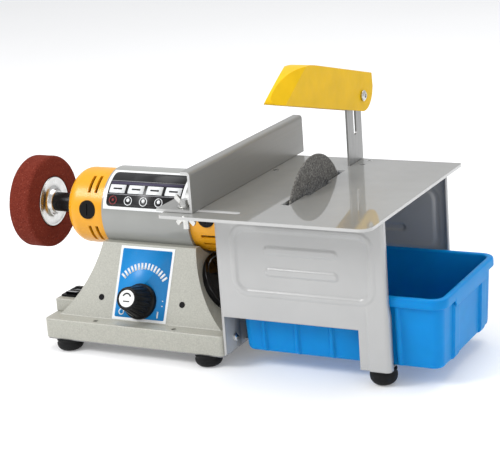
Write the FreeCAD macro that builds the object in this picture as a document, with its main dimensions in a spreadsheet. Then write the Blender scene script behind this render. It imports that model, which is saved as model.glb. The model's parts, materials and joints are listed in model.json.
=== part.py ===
import FreeCAD, Part
import math
import os

import Sketcher

# A small bench machine: a saw table on the right and a grinding wheel on the left share one motor.
# Frame: +X towards the water tray, +Y to the back, +Z up, origin on the floor under the middle.

DRIVING_SIZES = {
    # saw table
    "table_height": 162, "table_width": 184, "table_depth": 240, "table_gauge": 3,
    "table_right": 202, "table_front": -128, "table_corner": 12, "ear_width": 28, "ear_depth": 40,
    "fence_slot_left": -2, "fence_slot_right": 64.5, "fence_slot_width": 6.6, "clamp_y": -104.5,
    "blade_slot_length": 132, "blade_slot_width": 8, "slot_window_width": 4.5,
    "slot_window_front": -33, "slot_window_back": 20, "stud_radius": 2,
    "table_screw_x": 25.5, "table_screw_y": 50, "frame_bolt_radius": 2.5, "frame_bolt_height": 27,
    # sheet metal frame under the table
    "sheet_gauge": 1.5, "frame_left": 29.5, "frame_right": 200, "frame_front": -93, "frame_back": 77,
    "panel_bottom": 54.5, "leg_width": 28, "tab_bottom": 16, "tab_depth": 35, "flange_depth": 32,
    "flange_bottom": 14, "top_flange_depth": 15, "tray_lip_depth": 40, "spindle_hole_radius": 13,
    # base casting
    "base_middle": -73, "base_width": 205, "base_depth": 178, "plinth_bottom": 13.5, "plinth_top": 33.5,
    "ledge_depth": 15, "pedestal_top": 104, "pedestal_top_width": 107, "pedestal_foot_width": 186,
    "pedestal_top_depth": 82, "flank_radius": 120, "cast_wall": 4, "bottom_gauge": 1.5,
    "bench_spacing_x": 90, "bench_spacing_y": 164, "bench_hole_radius": 2.75,
    # feet
    "base_foot_radius": 13.5, "base_foot_height": 12, "base_foot_x": 80, "foot_inset": 10,
    "leg_foot_radius": 13, "leg_foot_inset": 11,
    # motor and spindle
    "spindle_height": 130, "spindle_y": -4, "barrel_left": -125, "barrel_right": -26, "barrel_radius": 42,
    "barrel_wall": 3, "cap_radius": 39, "cap_wall": 3, "left_cap_end": -172.5, "right_cap_end": 16,
    "shaft_radius": 5, "shaft_left": -252, "shaft_right": 118, "brush_x": 19, "brush_cap_radius": 9.5,
    "stator_length": 52, "stator_bore": 24.5, "armature_radius": 24, "commutator_radius": 12,
    "bearing_radius": 13, "bearing_width": 8, "running_gap": 0.05, "vent_width": 3.4,
    "motor_label_length": 92,
    # grinding wheel
    "wheel_left": -235, "wheel_width": 25, "wheel_radius": 48, "wheel_edge": 3.5, "sleeve_radius": 10,
    "wheel_flange_radius": 26, "wheel_recess": 2,
    # saw blade
    "blade_x": 93.5, "blade_radius": 63.5, "blade_gauge": 2, "blade_flange_radius": 21,
    "blade_flange_width": 5,
    # fence
    "fence_face": 21, "fence_gauge": 2.5, "fence_front": -116, "fence_length": 244, "fence_rise": 39,
    "fence_lip": 7, "fence_tab_width": 36, "fence_tab_depth": 34, "clamp_x": 7, "wing_reach": 10.5,
    # blade guard and its bracket
    "bracket_gauge": 2, "bracket_front": 79.5, "bracket_width": 35.5, "bracket_rise": 85,
    "bracket_foot": 20, "bracket_slot_low": 28, "bracket_slot_high": 79, "guard_bolt_radius": 3,
    "pivot_y": 98, "pivot_rise": 68.5, "guard_width": 22, "guard_wall": 2.5, "guard_tilt": 14,
    "guard_top": 24, "guard_bottom": -15.5, "guard_tail": -25, "guard_brow": 114.5, "guard_nose": 194,
    "nose_radius": 100,
    # water tray
    "tray_left": 39, "tray_length": 213, "tray_depth": 150, "tray_rise": 68.5, "tray_wall": 2.5,
    "tray_middle_y": -10, "tray_draft": 3, "rim_width": 4, "rim_height": 9, "tray_corner": 14,
    # controls
    "label_width": 62, "label_height": 74.5, "label_gauge": 0.4, "knob_radius": 18, "knob_height": 29,
    "knob_up_slope": 20.5, "knob_disc_radius": 8.5, "housing_width": 34, "housing_depth": 44,
    "housing_rise": 13.5, "housing_front": -70, "cover_radius": 34, "cover_height": 60,
    "cover_y": -22,
    "panel_screw_x": 46.5, "panel_screw_up": 21.5, "panel_screw_radius": 3, "knob_shaft_radius": 3,
}

doc = FreeCAD.newDocument("bench_sharpener")
sheet = doc.addObject("Spreadsheet::Sheet", "dims")
for row, (alias, number) in enumerate(DRIVING_SIZES.items(), start=1):
    sheet.set(f"A{row}", alias)
    sheet.set(f"B{row}", str(number))
    sheet.setAlias(f"B{row}", alias)
doc.recompute()

X_AXIS = FreeCAD.Vector(1, 0, 0)
Y_AXIS = FreeCAD.Vector(0, 1, 0)
Z_AXIS = FreeCAD.Vector(0, 0, 1)
TURN_TO = {
    "x": FreeCAD.Rotation(Y_AXIS, 90),
    "-x": FreeCAD.Rotation(Y_AXIS, -90),
    "y": FreeCAD.Rotation(X_AXIS, -90),
    "-y": FreeCAD.Rotation(X_AXIS, 90),
    "z": FreeCAD.Rotation(),
}
BELL_TURN = 8
parts = {}


class Size:
    """A length that carries both its number and the spreadsheet formula it comes from."""

    def __init__(self, formula, number):
        self.formula = formula
        self.number = number

    def __add__(self, other):
        return Size(f"({self.formula} + {formula_of(other)})", self.number + number_of(other))

    def __sub__(self, other):
        return Size(f"({self.formula} - {formula_of(other)})", self.number - number_of(other))

    def __mul__(self, factor):
        return Size(f"({self.formula} * {formula_of(factor)})", self.number * number_of(factor))

    def __truediv__(self, divisor):
        return Size(f"({self.formula} / {formula_of(divisor)})", self.number / number_of(divisor))

    def __neg__(self):
        return Size(f"(0 - {self.formula})", -self.number)

    def __radd__(self, other):
        return self + other

    def __rsub__(self, other):
        return -self + other

    def __rmul__(self, factor):
        return self * factor


def formula_of(size):
    return size.formula if isinstance(size, Size) else repr(float(size))


def number_of(size):
    return size.number if isinstance(size, Size) else float(size)


class Dimensions:
    """Reads a spreadsheet cell by its alias: dim.table_height is a Size."""

    def __getattr__(self, alias):
        return Size(f"dims.{alias}", float(DRIVING_SIZES[alias]))


dim = Dimensions()


# ---------------------------------------------------------------- drawing helpers

def bind(item, field, size):
    """Ties a field of a document object to the sheet."""
    item.setExpression(field, formula_of(size))


def place(item, at, turn=None):
    """Puts an object at a point of the machine's frame, with an optional turn."""
    base = FreeCAD.Vector(*[number_of(size) for size in at])
    item.Placement = FreeCAD.Placement(base, turn or FreeCAD.Rotation())
    for axis, size in zip("xyz", at):
        if isinstance(size, Size):
            bind(item, f"Placement.Base.{axis}", size)
    return item


def box(name, sizes, at, turn=None):
    """A block of the given length, width and height, its lowest corner at the point."""
    block = doc.addObject("Part::Box", name)
    for field, size in zip(("Length", "Width", "Height"), sizes):
        bind(block, field, size)
    return place(block, at, turn)


def rod(name, radius, length, at, along="z"):
    """A round bar that starts at the point and runs along an axis."""
    bar = doc.addObject("Part::Cylinder", name)
    bind(bar, "Radius", radius)
    bind(bar, "Height", length)
    return place(bar, at, TURN_TO[along])


def ring_sector(name, outer, inner, length, at, first_angle, angle):
    """A curved slot cutter round the spindle axis."""
    turn = TURN_TO["x"].multiply(FreeCAD.Rotation(Z_AXIS, first_angle))
    wedge = doc.addObject("Part::Cylinder", f"{name}_outer")
    bind(wedge, "Radius", outer)
    bind(wedge, "Height", length)
    wedge.Angle = angle
    place(wedge, at, turn)
    core = rod(f"{name}_inner", inner, length, at, "x")
    return cut(name, wedge, core)


def cut(name, base, *tools):
    """The base with each of the tools taken away."""
    result = doc.addObject("Part::Cut", name)
    result.Base = base
    result.Tool = tools[0] if len(tools) == 1 else joined(f"{name}_tools", *tools)
    return result


def joined(name, *pieces):
    """Several solids made into one."""
    result = doc.addObject("Part::MultiFuse", name)
    result.Shapes = list(pieces)
    return result


def group(name, pieces):
    """Identical fasteners kept as separate solids under one name."""
    result = doc.addObject("Part::Compound", name)
    result.Links = list(pieces)
    return result


def keep(name, item):
    """Names an object as one of the machine's sub-parts."""
    item.Label = name
    parts[name] = item
    return item


def new_body(name, at=(0, 0, 0), turn=None):
    return place(doc.addObject("PartDesign::Body", name), at, turn)


def new_sketch(body, plane_role, offset=0):
    """A sketch on one of the body's own origin planes, moved along the plane's normal."""
    sketch = body.newObject("Sketcher::SketchObject", f"{body.Name}_sketch")
    plane = next(item for item in body.Origin.OriginFeatures if item.Role == plane_role)
    sketch.AttachmentSupport = [(plane, "")]
    sketch.MapMode = "FlatFace"
    bind(sketch, "AttachmentOffset.Base.z", offset)
    return sketch


def fix_point(sketch, element, point, x, y):
    """Ties a sketch point to its two coordinates."""
    for kind, size in (("DistanceX", x), ("DistanceY", y)):
        index = sketch.addConstraint(Sketcher.Constraint(kind, -1, 1, element, point, number_of(size)))
        bind(sketch, f"Constraints[{index}]", size)


def arc_through(start, end, radius, bulge):
    """The short arc between two points, bulging left (+1) or right (-1) of the way between them."""
    chord = end - start
    middle = (start + end) / 2
    left = FreeCAD.Vector(-chord.y, chord.x, 0).normalize()
    height = radius - math.sqrt(max(radius ** 2 - (chord.Length / 2) ** 2, 0))
    return Part.Arc(start, middle + left * (height * bulge), end)


def outline(sketch, corners):
    """A closed outline. A corner is (x, y), or (x, y, radius, bulge) at the end of an arc."""
    points = [FreeCAD.Vector(number_of(corner[0]), number_of(corner[1]), 0) for corner in corners]
    for index, corner in enumerate(corners):
        start, end = points[index - 1], points[index]
        if len(corner) == 2:
            element = sketch.addGeometry(Part.LineSegment(start, end))
        else:
            element = sketch.addGeometry(arc_through(start, end, number_of(corner[2]), corner[3]))
            limit = sketch.addConstraint(Sketcher.Constraint("Radius", element, number_of(corner[2])))
            bind(sketch, f"Constraints[{limit}]", corner[2])
        first = 1 if sketch.getPoint(element, 1).distanceToPoint(start) < 1e-6 else 2
        before = corners[index - 1]
        fix_point(sketch, element, first, before[0], before[1])
        fix_point(sketch, element, 3 - first, corner[0], corner[1])
    return sketch


def rectangle(left, low, right, high):
    return [(left, low), (right, low), (right, high), (left, high)]


def round_rectangle(left, low, right, high, radius):
    """Corners of a rectangle with four round corners."""
    return [
        (left + radius, low, radius, -1), (right - radius, low), (right, low + radius, radius, -1),
        (right, high - radius), (right - radius, high, radius, -1), (left + radius, high),
        (left, high - radius, radius, -1), (left, low + radius),
    ]


def slot_along_x(left, right, row, half):
    """A slot with round ends, its length along the sketch's first axis."""
    return [
        (left + half, row - half, half, -1), (right - half, row - half), (right, row, half, -1),
        (right - half, row + half, half, -1), (left + half, row + half), (left, row, half, -1),
    ]


def slot_along_y(low, high, column, half):
    """A slot with round ends, its length along the sketch's second axis."""
    return [
        (column + half, low + half, half, -1), (column + half, high - half), (column, high, half, -1),
        (column - half, high - half, half, -1), (column - half, low + half), (column, low, half, -1),
    ]


def circle(sketch, x, y, radius):
    centre = FreeCAD.Vector(number_of(x), number_of(y), 0)
    element = sketch.addGeometry(Part.Circle(centre, Z_AXIS, number_of(radius)))
    index = sketch.addConstraint(Sketcher.Constraint("Radius", element, number_of(radius)))
    bind(sketch, f"Constraints[{index}]", radius)
    fix_point(sketch, element, 3, x, y)
    return sketch


def pad(body, sketch, length, reverse=False, both_ways=False):
    feature = body.newObject("PartDesign::Pad", f"{body.Name}_pad")
    feature.Profile = sketch
    bind(feature, "Length", length)
    feature.Reversed = reverse
    feature.SideType = "Symmetric" if both_ways else "One side"
    return feature


def pocket(body, sketch, length, both_ways=True):
    """Cuts the sketch out of the body, the length shared by both sides of the sketch plane."""
    feature = body.newObject("PartDesign::Pocket", f"{body.Name}_pocket")
    feature.Profile = sketch
    bind(feature, "Length", length)
    feature.SideType = "Symmetric" if both_ways else "One side"
    return feature


def round_edges(body, radius, chosen):
    """Rounds the body's edges whose two ends and middle pass the test."""
    doc.recompute()
    tip = body.Tip
    names = [f"Edge{number}" for number, edge in enumerate(tip.Shape.Edges, start=1) if chosen(edge)]
    feature = body.newObject("PartDesign::Fillet", f"{body.Name}_round")
    feature.Base = (tip, names)
    bind(feature, "Radius", radius)
    return feature


def runs_along(edge, axis):
    """True for a straight edge along X, Y or Z (0, 1 or 2)."""
    if edge.Curve.TypeId != "Part::GeomLine":
        return False
    return abs(abs(edge.tangentAt(edge.FirstParameter)[axis]) - 1) < 1e-6


def near(edge, **wanted):
    """True when the middle of the edge has the wanted coordinates."""
    middle = edge.CenterOfMass
    return all(abs(getattr(middle, axis) - number_of(size)) < 0.3 for axis, size in wanted.items())


def turned(name, profile, at, along="z"):
    """A piece turned on a lathe: the profile's corners are (radius, height) pairs."""
    body = new_body(name, at, TURN_TO[along])
    sketch = outline(new_sketch(body, "XZ_Plane"), profile)
    feature = body.newObject("PartDesign::Revolution", f"{name}_turn")
    feature.Profile = sketch
    feature.ReferenceAxis = (sketch, ["V_Axis"])
    feature.Angle = 360
    return body


def washer(name, outer, inner, thickness, at, along="z"):
    """A flat ring."""
    return turned(name, rectangle(inner, 0, outer, thickness), at, along)


def hexagon_nut(name, across, height, bore, at, along="z"):
    """A hexagon nut, or a bolt head when the bore is zero."""
    nut = doc.addObject("Part::Prism", f"{name}_hexagon")
    nut.Polygon = 6
    bind(nut, "Circumradius", across / math.sqrt(3))
    bind(nut, "Height", height)
    place(nut, at, TURN_TO[along])
    if number_of(bore) == 0:
        return nut
    return cut(name, nut, rod(f"{name}_bore", bore, height, at, along))


def copies(name, maker, places):
    """Makes one solid per place and groups them."""
    return group(name, [maker(f"{name}_{number}", at) for number, at in enumerate(places, start=1)])


def on_spindle(x):
    """A point on the spindle axis."""
    return (x, dim.spindle_y, dim.spindle_height)


# ---------------------------------------------------------------- base casting and feet

def base_casting():
    """Hollow pedestal on a plinth, with a round cradle that holds the motor."""
    body = new_body("base_casting", (dim.base_middle, dim.spindle_y, 0))
    foot = dim.pedestal_foot_width / 2
    top = dim.pedestal_top_width / 2
    flanks = [
        (-foot, dim.plinth_top - 1), (foot, dim.plinth_top - 1), (foot, dim.plinth_top),
        (top, dim.pedestal_top, dim.flank_radius, 1), (-top, dim.pedestal_top),
        (-foot, dim.plinth_top, dim.flank_radius, 1),
    ]
    pad(body, outline(new_sketch(body, "XZ_Plane"), flanks), dim.base_depth - dim.ledge_depth * 2,
        both_ways=True)
    half_foot = dim.base_depth / 2 - dim.ledge_depth
    half_top = dim.pedestal_top_depth / 2
    for side in (-1, 1):
        slope = [(half_foot * side, dim.plinth_top), (half_foot * side, dim.pedestal_top + 1),
                 (half_top * side, dim.pedestal_top + 1), (half_top * side, dim.pedestal_top)]
        pocket(body, outline(new_sketch(body, "YZ_Plane"), slope), dim.base_width)
    half_width = dim.base_width / 2
    half_depth = dim.base_depth / 2
    plinth = round_rectangle(-half_width, -half_depth, half_width, half_depth, 5)
    pad(body, outline(new_sketch(body, "XY_Plane", dim.plinth_bottom), plinth),
        dim.plinth_top - dim.plinth_bottom)
    doc.recompute()
    cradle = circle(new_sketch(body, "YZ_Plane"), 0, dim.spindle_height, dim.barrel_radius)
    pocket(body, cradle, dim.base_width)
    wall = dim.cast_wall
    under_plinth = rectangle(wall - half_width, wall - half_depth, half_width - wall, half_depth - wall)
    pocket(body, outline(new_sketch(body, "XY_Plane", dim.plinth_bottom), under_plinth),
           (dim.plinth_top - dim.plinth_bottom - wall) * 2)
    for height in (dim.plinth_top + 16, dim.plinth_top + 31, dim.plinth_top + 48):
        across = flank_half_width(height) - wall * 1.5
        deep = slope_half_depth(height) - wall * 1.5
        inside = rectangle(-across, -deep, across, deep)
        pocket(body, outline(new_sketch(body, "XY_Plane"), inside), height * 2)
    holes = new_sketch(body, "XY_Plane", dim.plinth_top)
    for x in (-dim.bench_spacing_x / 2, dim.bench_spacing_x / 2):
        for y in (-dim.bench_spacing_y / 2, dim.bench_spacing_y / 2):
            circle(holes, x, y, dim.bench_hole_radius)
    pocket(body, holes, dim.base_depth / 4)
    round_edges(body, 1.5, lambda edge: near(edge, z=dim.plinth_top) and edge.Length > 150)
    passage = rod("wire_passage", 6, 30, (dim.base_middle, dim.spindle_y, dim.pedestal_top - 40))
    screw_bore = dim.panel_screw_radius + 0.1
    screw_holes = [slope_rod(f"panel_screw_hole_{number}", screw_bore, 16, x, dim.panel_screw_up, -12)
                   for number, x in enumerate(panel_screw_columns(), start=1)]
    pot_hole = slope_rod("pot_hole", 3.6, 14, 0, dim.knob_up_slope, -12)
    pot_well = slope_rod("pot_well", 8.3, 16, 0, dim.knob_up_slope, -20)
    bolt_holes = [rod(f"frame_bolt_hole_{number}", dim.frame_bolt_radius + 0.1, 12,
                      (dim.frame_left + 1, y, dim.frame_bolt_height), "-x")
                  for number, y in enumerate(frame_bolt_rows(), start=1)]
    cord_hole = rod("cord_hole", 5, 12, gland_place(-8), "y")
    seat = cover_piece("cover_seat", rectangle(0, -3, dim.cover_radius + 0.1, 30))
    return cut("base_casting_drilled", body, passage, pot_hole, pot_well, seat, cord_hole,
               switch_well("casting_well"), *screw_holes, *bolt_holes)


def panel_screw_columns():
    return (-dim.panel_screw_x, dim.panel_screw_x)


def flank_half_width(height):
    """Half the pedestal's width at a height, from the hollow curve of its flanks."""
    x, z = flank_curve()
    radius = number_of(dim.flank_radius)
    return x - math.sqrt(radius ** 2 - (z - number_of(height)) ** 2)


def slope_half_depth(height):
    """Half the pedestal's depth at a height, from the lean of its front and back."""
    foot = dim.base_depth / 2 - dim.ledge_depth
    share = (number_of(height) - number_of(dim.plinth_top)) / number_of(dim.pedestal_top - dim.plinth_top)
    return foot - (foot - dim.pedestal_top_depth / 2) * share


def flank_curve():
    """The centre of a flank's curve: its distance from the pedestal's middle, and its height."""
    foot = number_of(dim.pedestal_foot_width) / 2
    top = number_of(dim.pedestal_top_width) / 2
    low = number_of(dim.plinth_top)
    high = number_of(dim.pedestal_top)
    chord = math.hypot(foot - top, high - low)
    reach = math.sqrt(number_of(dim.flank_radius) ** 2 - (chord / 2) ** 2)
    return ((foot + top) / 2 + reach * (high - low) / chord, (low + high) / 2 + reach * (foot - top) / chord)


def slope_angle():
    """How far the pedestal's front leans back from upright, in degrees."""
    back = number_of(dim.base_depth / 2 - dim.ledge_depth - dim.pedestal_top_depth / 2)
    return math.degrees(math.atan2(back, number_of(dim.pedestal_top - dim.plinth_top)))


def front_point(x, up, out=0):
    """A point on the pedestal's sloping front: across from its middle, up the slope, out of it."""
    lean = math.radians(slope_angle())
    y = dim.spindle_y - dim.base_depth / 2 + dim.ledge_depth
    return (dim.base_middle + x, y + up * math.sin(lean) - out * math.cos(lean),
            dim.plinth_top + up * math.cos(lean) + out * math.sin(lean))


def outward_turn():
    """The turn that points a piece's own Z axis straight out of the sloping front."""
    return FreeCAD.Rotation(X_AXIS, 90 - slope_angle())


def slope_rod(name, radius, length, x, up, out):
    """A round bar square to the sloping front."""
    return on_slope(rod(name, radius, length, (0, 0, 0)), x, up, out)


def on_slope(item, x, up, out=0):
    """Moves a piece so that its own Z axis points out of the sloping front."""
    return place(item, front_point(x, up, out), outward_turn())


def bottom_plate():
    """Sheet that closes the base from below."""
    body = new_body("bottom_plate", (dim.base_middle, dim.spindle_y, 0))
    half_width = dim.base_width / 2 - 1
    half_depth = dim.base_depth / 2 - 1
    sketch = new_sketch(body, "XY_Plane", dim.plinth_bottom - dim.bottom_gauge)
    outline(sketch, round_rectangle(-half_width, -half_depth, half_width, half_depth, 4))
    for x in (-dim.bench_spacing_x / 2, dim.bench_spacing_x / 2):
        for y in (-dim.bench_spacing_y / 2, dim.bench_spacing_y / 2):
            circle(sketch, x, y, dim.bench_hole_radius)
    for x, y, _ in base_foot_places():
        circle(sketch, x - dim.base_middle, y - dim.spindle_y, 2.1)
    pad(body, sketch, dim.bottom_gauge)
    return body


def base_foot_places():
    reach = dim.base_depth / 2 - dim.foot_inset
    return [(dim.base_middle + dim.base_foot_x * side, dim.spindle_y + reach * depth, 0)
            for side in (-1, 1) for depth in (-1, 1)]


def leg_foot_places():
    x = dim.frame_right - dim.leg_foot_inset
    front = dim.frame_front + dim.leg_foot_radius
    back = dim.frame_back - dim.leg_foot_radius
    return [(x, front, 0), (x, back, 0)]


def rubber_foot(name, at, radius, height):
    """A moulded foot with a rounded tread, hollow inside for its screw."""
    profile = [
        (4.5, 0), (radius - 5, 0), (radius, 5, 5, -1), (radius, height), (2.2, height),
        (2.2, height - 4), (4.5, height - 4),
    ]
    return turned(name, profile, at)


def foot_screw(name, at, height, length):
    """A pan head screw that holds a foot from below."""
    x, y, _ = at
    head = rod(f"{name}_head", 4, 2.5, (x, y, height - 6.5))
    shank = rod(f"{name}_shank", 2, length, (x, y, height - 4))
    return joined(name, head, shank)


def feet():
    base_height = dim.base_foot_height
    leg_height = dim.tab_bottom
    keep("base_feet", copies(
        "base_feet", lambda name, at: rubber_foot(name, at, dim.base_foot_radius, base_height),
        base_foot_places()))
    keep("leg_feet", copies(
        "leg_feet", lambda name, at: rubber_foot(name, at, dim.leg_foot_radius, leg_height),
        leg_foot_places()))
    screws = [foot_screw(f"base_foot_screw_{number}", at, base_height, 10)
              for number, at in enumerate(base_foot_places(), start=1)]
    screws += [foot_screw(f"leg_foot_screw_{number}", at, leg_height, 5.4)
               for number, at in enumerate(leg_foot_places(), start=1)]
    keep("foot_screws", group("foot_screws", screws))


def cover_piece(name, profile):
    """A turned piece on the axis of the cover in the right flank, its zero at the flank's hollow."""
    centre_x, centre_z = flank_curve()
    height = number_of(dim.cover_height)
    lean = math.asin((centre_z - height) / number_of(dim.flank_radius))
    x = centre_x - number_of(dim.flank_radius) * math.cos(lean)
    body = turned(name, profile, (0, 0, 0))
    return place(body, (dim.base_middle + x, dim.cover_y, height),
                 FreeCAD.Rotation(Y_AXIS, 90 - math.degrees(lean)))


def access_cover():
    """Domed black cover set into the right flank, over the wiring."""
    radius = dim.cover_radius
    edge = 6.5
    crown = 7
    reach = radius - 5
    dome = (reach * reach + crown ** 2) / (crown * 2)
    profile = [(0, -2.9), (radius, -2.9), (radius, edge), (radius - 3, edge + 1), (reach, edge),
               (0, edge + crown, dome, -1)]
    return cover_piece("access_cover", profile)


# ---------------------------------------------------------------- controls

def controls():
    label = box("control_label", (dim.label_width, dim.label_height, dim.label_gauge), (0, 0, 0))
    on_slope(label, -dim.label_width / 2, 1)
    pot_hole = slope_rod("label_hole", 3.6, 4, 0, dim.knob_up_slope, -2)
    keep("control_label", cut("control_label_cut", label, pot_hole))

    keep("panel_screws", copies("panel_screws", panel_screw, panel_screw_columns()))

    case = slope_rod("pot_case", 8, 9, 0, dim.knob_up_slope, -19)
    neck = slope_rod("pot_neck", 3.5, 10.3, 0, dim.knob_up_slope, -10)
    bore = slope_rod("pot_bore", dim.knob_shaft_radius + dim.running_gap, 14, 0, dim.knob_up_slope, -13)
    keep("potentiometer", cut("potentiometer", joined("pot_body", case, neck), bore))

    keep("knob_shaft", slope_rod("knob_stem", dim.knob_shaft_radius, 22, 0, dim.knob_up_slope, -12))
    keep("speed_knob", speed_knob())
    disc = washer("knob_disc", dim.knob_disc_radius, 0, 0.8, (0, 0, 0))
    keep("knob_disc", on_slope(disc, 0, dim.knob_up_slope, dim.knob_height - 1))

    board = box("board_panel", (70, 50, 1.6), (dim.base_middle - 35, dim.spindle_y - 25, 18))
    sink = box("board_sink", (8, 40, 22), (dim.base_middle - 30, dim.spindle_y - 20, 19))
    choke = rod("board_choke", 9, 12, (dim.base_middle + 15, dim.spindle_y + 5, 19))
    chip = box("board_chip", (14, 10, 8), (dim.base_middle - 10, dim.spindle_y - 15, 19))
    keep("control_board", joined("control_board", board, sink, choke, chip))


def panel_screw(name, x):
    """A dark screw sunk in its hole in the sloping front."""
    return slope_rod(f"{name}_head", dim.panel_screw_radius, 3, x, dim.panel_screw_up, -2.5)


def speed_knob():
    """Skirted knob with a fluted grip and a sunk face for its disc."""
    radius = dim.knob_radius
    height = dim.knob_height
    shaft = dim.knob_shaft_radius
    profile = [
        (shaft, 0.6), (radius, 0.6), (radius, 5), (radius - 2.5, 8), (dim.knob_disc_radius + 2.5, height),
        (dim.knob_disc_radius, height), (dim.knob_disc_radius, height - 1), (0, height - 1), (0, 11),
        (shaft, 11),
    ]
    body = turned("speed_knob", profile, (0, 0, 0))
    groove = circle(new_sketch(body, "XY_Plane", 9), radius - 1, 0, 2)
    flute = pocket(body, groove, height * 2, both_ways=False)
    flute.Reversed = True
    pattern = body.newObject("PartDesign::PolarPattern", "knob_flutes")
    pattern.Originals = [flute]
    pattern.Axis = (next(item for item in body.Origin.OriginFeatures if item.Role == "Z_Axis"), [""])
    pattern.Angle = 360
    pattern.Occurrences = 16
    body.Tip = pattern
    return on_slope(body, 0, dim.knob_up_slope)


def switch_well(name):
    """Cutter for the hole that the rocker switch drops into."""
    left = dim.base_middle - dim.base_width / 2
    return box(name, (15, 26, 40), (left + 4.5, dim.housing_front + 9, dim.plinth_top - 5))


def switch_parts():
    """Box on the left of the plinth with the rocker switch in its top."""
    left = dim.base_middle - dim.base_width / 2
    low = dim.plinth_top
    body = new_body("switch_housing", (left, dim.housing_front, low))
    ends = [(0.5, 0), (dim.housing_width, 0), (dim.housing_width, dim.housing_rise), (0.5, dim.housing_rise)]
    pad(body, outline(new_sketch(body, "XZ_Plane"), ends), dim.housing_depth, reverse=True)
    centre_x, centre_z = flank_curve()
    flank = rod("housing_flank", dim.flank_radius, dim.base_depth,
                (dim.base_middle - centre_x, dim.spindle_y - dim.base_depth / 2, centre_z), "y")
    trimmed = joined_common("switch_housing_trim", body, flank)
    keep("switch_housing", cut("switch_housing_cut", trimmed, switch_well("housing_well")))

    middle = (left + 12, dim.housing_front + 22, low + dim.housing_rise)
    axis = (middle[0] - 7.2, middle[1], middle[2] + 1.5)
    frame = box("bezel_frame", (18, 29, 2), (middle[0] - 9, middle[1] - 14.5, middle[2]))
    shell = box("bezel_shell", (15, 26, 17), (middle[0] - 7.5, middle[1] - 13, middle[2] - 17))
    opening = box("bezel_opening", (12.8, 22, 30), (middle[0] - 6.4, middle[1] - 11, middle[2] - 8))
    pin_hole = rod("rocker_pin_hole", 1.3 + dim.running_gap, 14.4, axis, "x")
    keep("switch_bezel", cut("switch_bezel", joined("bezel_whole", frame, shell), opening, pin_hole))

    rocker = new_body("rocker_shape", (middle[0] - 6, middle[1], middle[2] + 1.5))
    shape = [(-10, 2.6), (-9, -3.5), (9, -3.5), (10, -0.4), (0, 0.6)]
    pad(rocker, outline(new_sketch(rocker, "YZ_Plane"), shape), 12)
    pin = rod("rocker_pin", 1.3, 14.2, axis, "x")
    keep("switch_rocker", joined("switch_rocker", rocker, pin))


def joined_common(name, first, *others):
    """What several solids have in common."""
    result = doc.addObject("Part::MultiCommon", name)
    result.Shapes = [first, *others]
    return result


# ---------------------------------------------------------------- motor

def end_cap(name, inner_end, outer_end, along):
    """A moulded bell with a round shoulder that holds a bearing and closes one end of the barrel."""
    length = abs(number_of(outer_end) - number_of(inner_end))
    radius = dim.cap_radius
    wall = dim.cap_wall
    seat = dim.bearing_radius
    profile = [
        (radius, 0), (radius, length - 14), (radius - 14, length, 14, -1),
        (10, length), (10, length - 3), (seat, length - 3), (seat, length - 3 - dim.bearing_width),
        (seat + 3, length - 3 - dim.bearing_width), (seat + 3, length - 3), (radius - 15, length - 3),
        (radius - wall, length - 14, 12, 1), (radius - wall, 0),
    ]
    return turned(name, profile, on_spindle(inner_end), along)


def motor_housing():
    length = dim.barrel_right - dim.barrel_left
    barrel = washer("motor_barrel", dim.barrel_radius, dim.barrel_radius - dim.barrel_wall, length,
                    on_spindle(dim.barrel_left), "x")
    keep("motor_barrel", barrel)

    left = end_cap("left_cap_blank", dim.barrel_left, dim.left_cap_end, "-x")
    cutters = [brush_hole("left", dim.barrel_left - dim.brush_x)]
    for offset in (9.1, 17.1):
        for first in (33, 116, 213, 296):
            cutters.append(ring_sector(
                f"left_vent_{len(cutters)}", dim.cap_radius + 1, dim.cap_radius - 5, dim.vent_width,
                on_spindle(dim.barrel_left - offset - dim.vent_width), first, 31))
    keep("left_end_cap", turn_bell(cut("left_end_cap", left, *cutters)))

    right = end_cap("right_cap_blank", dim.barrel_right, dim.right_cap_end, "x")
    cutters = [brush_hole("right", dim.barrel_right + dim.brush_x)]
    for number in range(24):
        angle = 15 * number
        if angle % 180 in (0, 75, 90, 105):
            continue
        cutters.append(axial_slot(f"right_vent_{number}", angle))
    keep("right_end_cap", turn_bell(cut("right_end_cap", right, *cutters)))

    left_x = dim.barrel_left - dim.brush_x
    right_x = dim.barrel_right + dim.brush_x
    for name, x in (("brush_caps", left_x), ("blank_plugs", right_x)):
        keep(name, turn_bell(group(name, [side_plug(f"{name}_{side}", x, side) for side in (-1, 1)])))


def turn_bell(item):
    """Turns a bell, or a piece fixed in one, a little round the spindle axis."""
    centre = FreeCAD.Vector(*[number_of(size) for size in on_spindle(0)])
    item.Placement = FreeCAD.Placement(FreeCAD.Vector(), FreeCAD.Rotation(X_AXIS, -BELL_TURN), centre)
    return item


def round_spindle(item, x, angle, across, out):
    """Puts a piece round the spindle axis: moved sideways and outward, then turned by the angle."""
    turn = FreeCAD.Rotation(X_AXIS, angle)
    shift = turn.multVec(FreeCAD.Vector(0, across, number_of(out)))
    return place(item, (x, dim.spindle_y + shift.y, dim.spindle_height + shift.z), turn)


def axial_slot(name, angle):
    """A vent slot cutter that lies along the spindle, at an angle round it."""
    width = dim.vent_width
    slot = box(name, (17, width, 12), (0, 0, 0))
    return round_spindle(slot, dim.barrel_right + 11, angle, -number_of(width) / 2, dim.cap_radius - 6)


def brush_hole(side, x):
    """The cross hole through a bell, spot faced on both sides for the caps."""
    radius = dim.cap_radius
    through = rod(f"{side}_brush_hole", dim.brush_cap_radius - 2, radius * 2 + 2,
                  (x, dim.spindle_y - radius - 1, dim.spindle_height), "y")
    faces = [rod(f"{side}_spot_face_{turn}", dim.brush_cap_radius + 0.1, 4,
                 (x, dim.spindle_y + (radius - 1.6) * turn, dim.spindle_height), facing(turn))
             for turn in (-1, 1)]
    return joined(f"{side}_brush_cutter", through, *faces)


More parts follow.
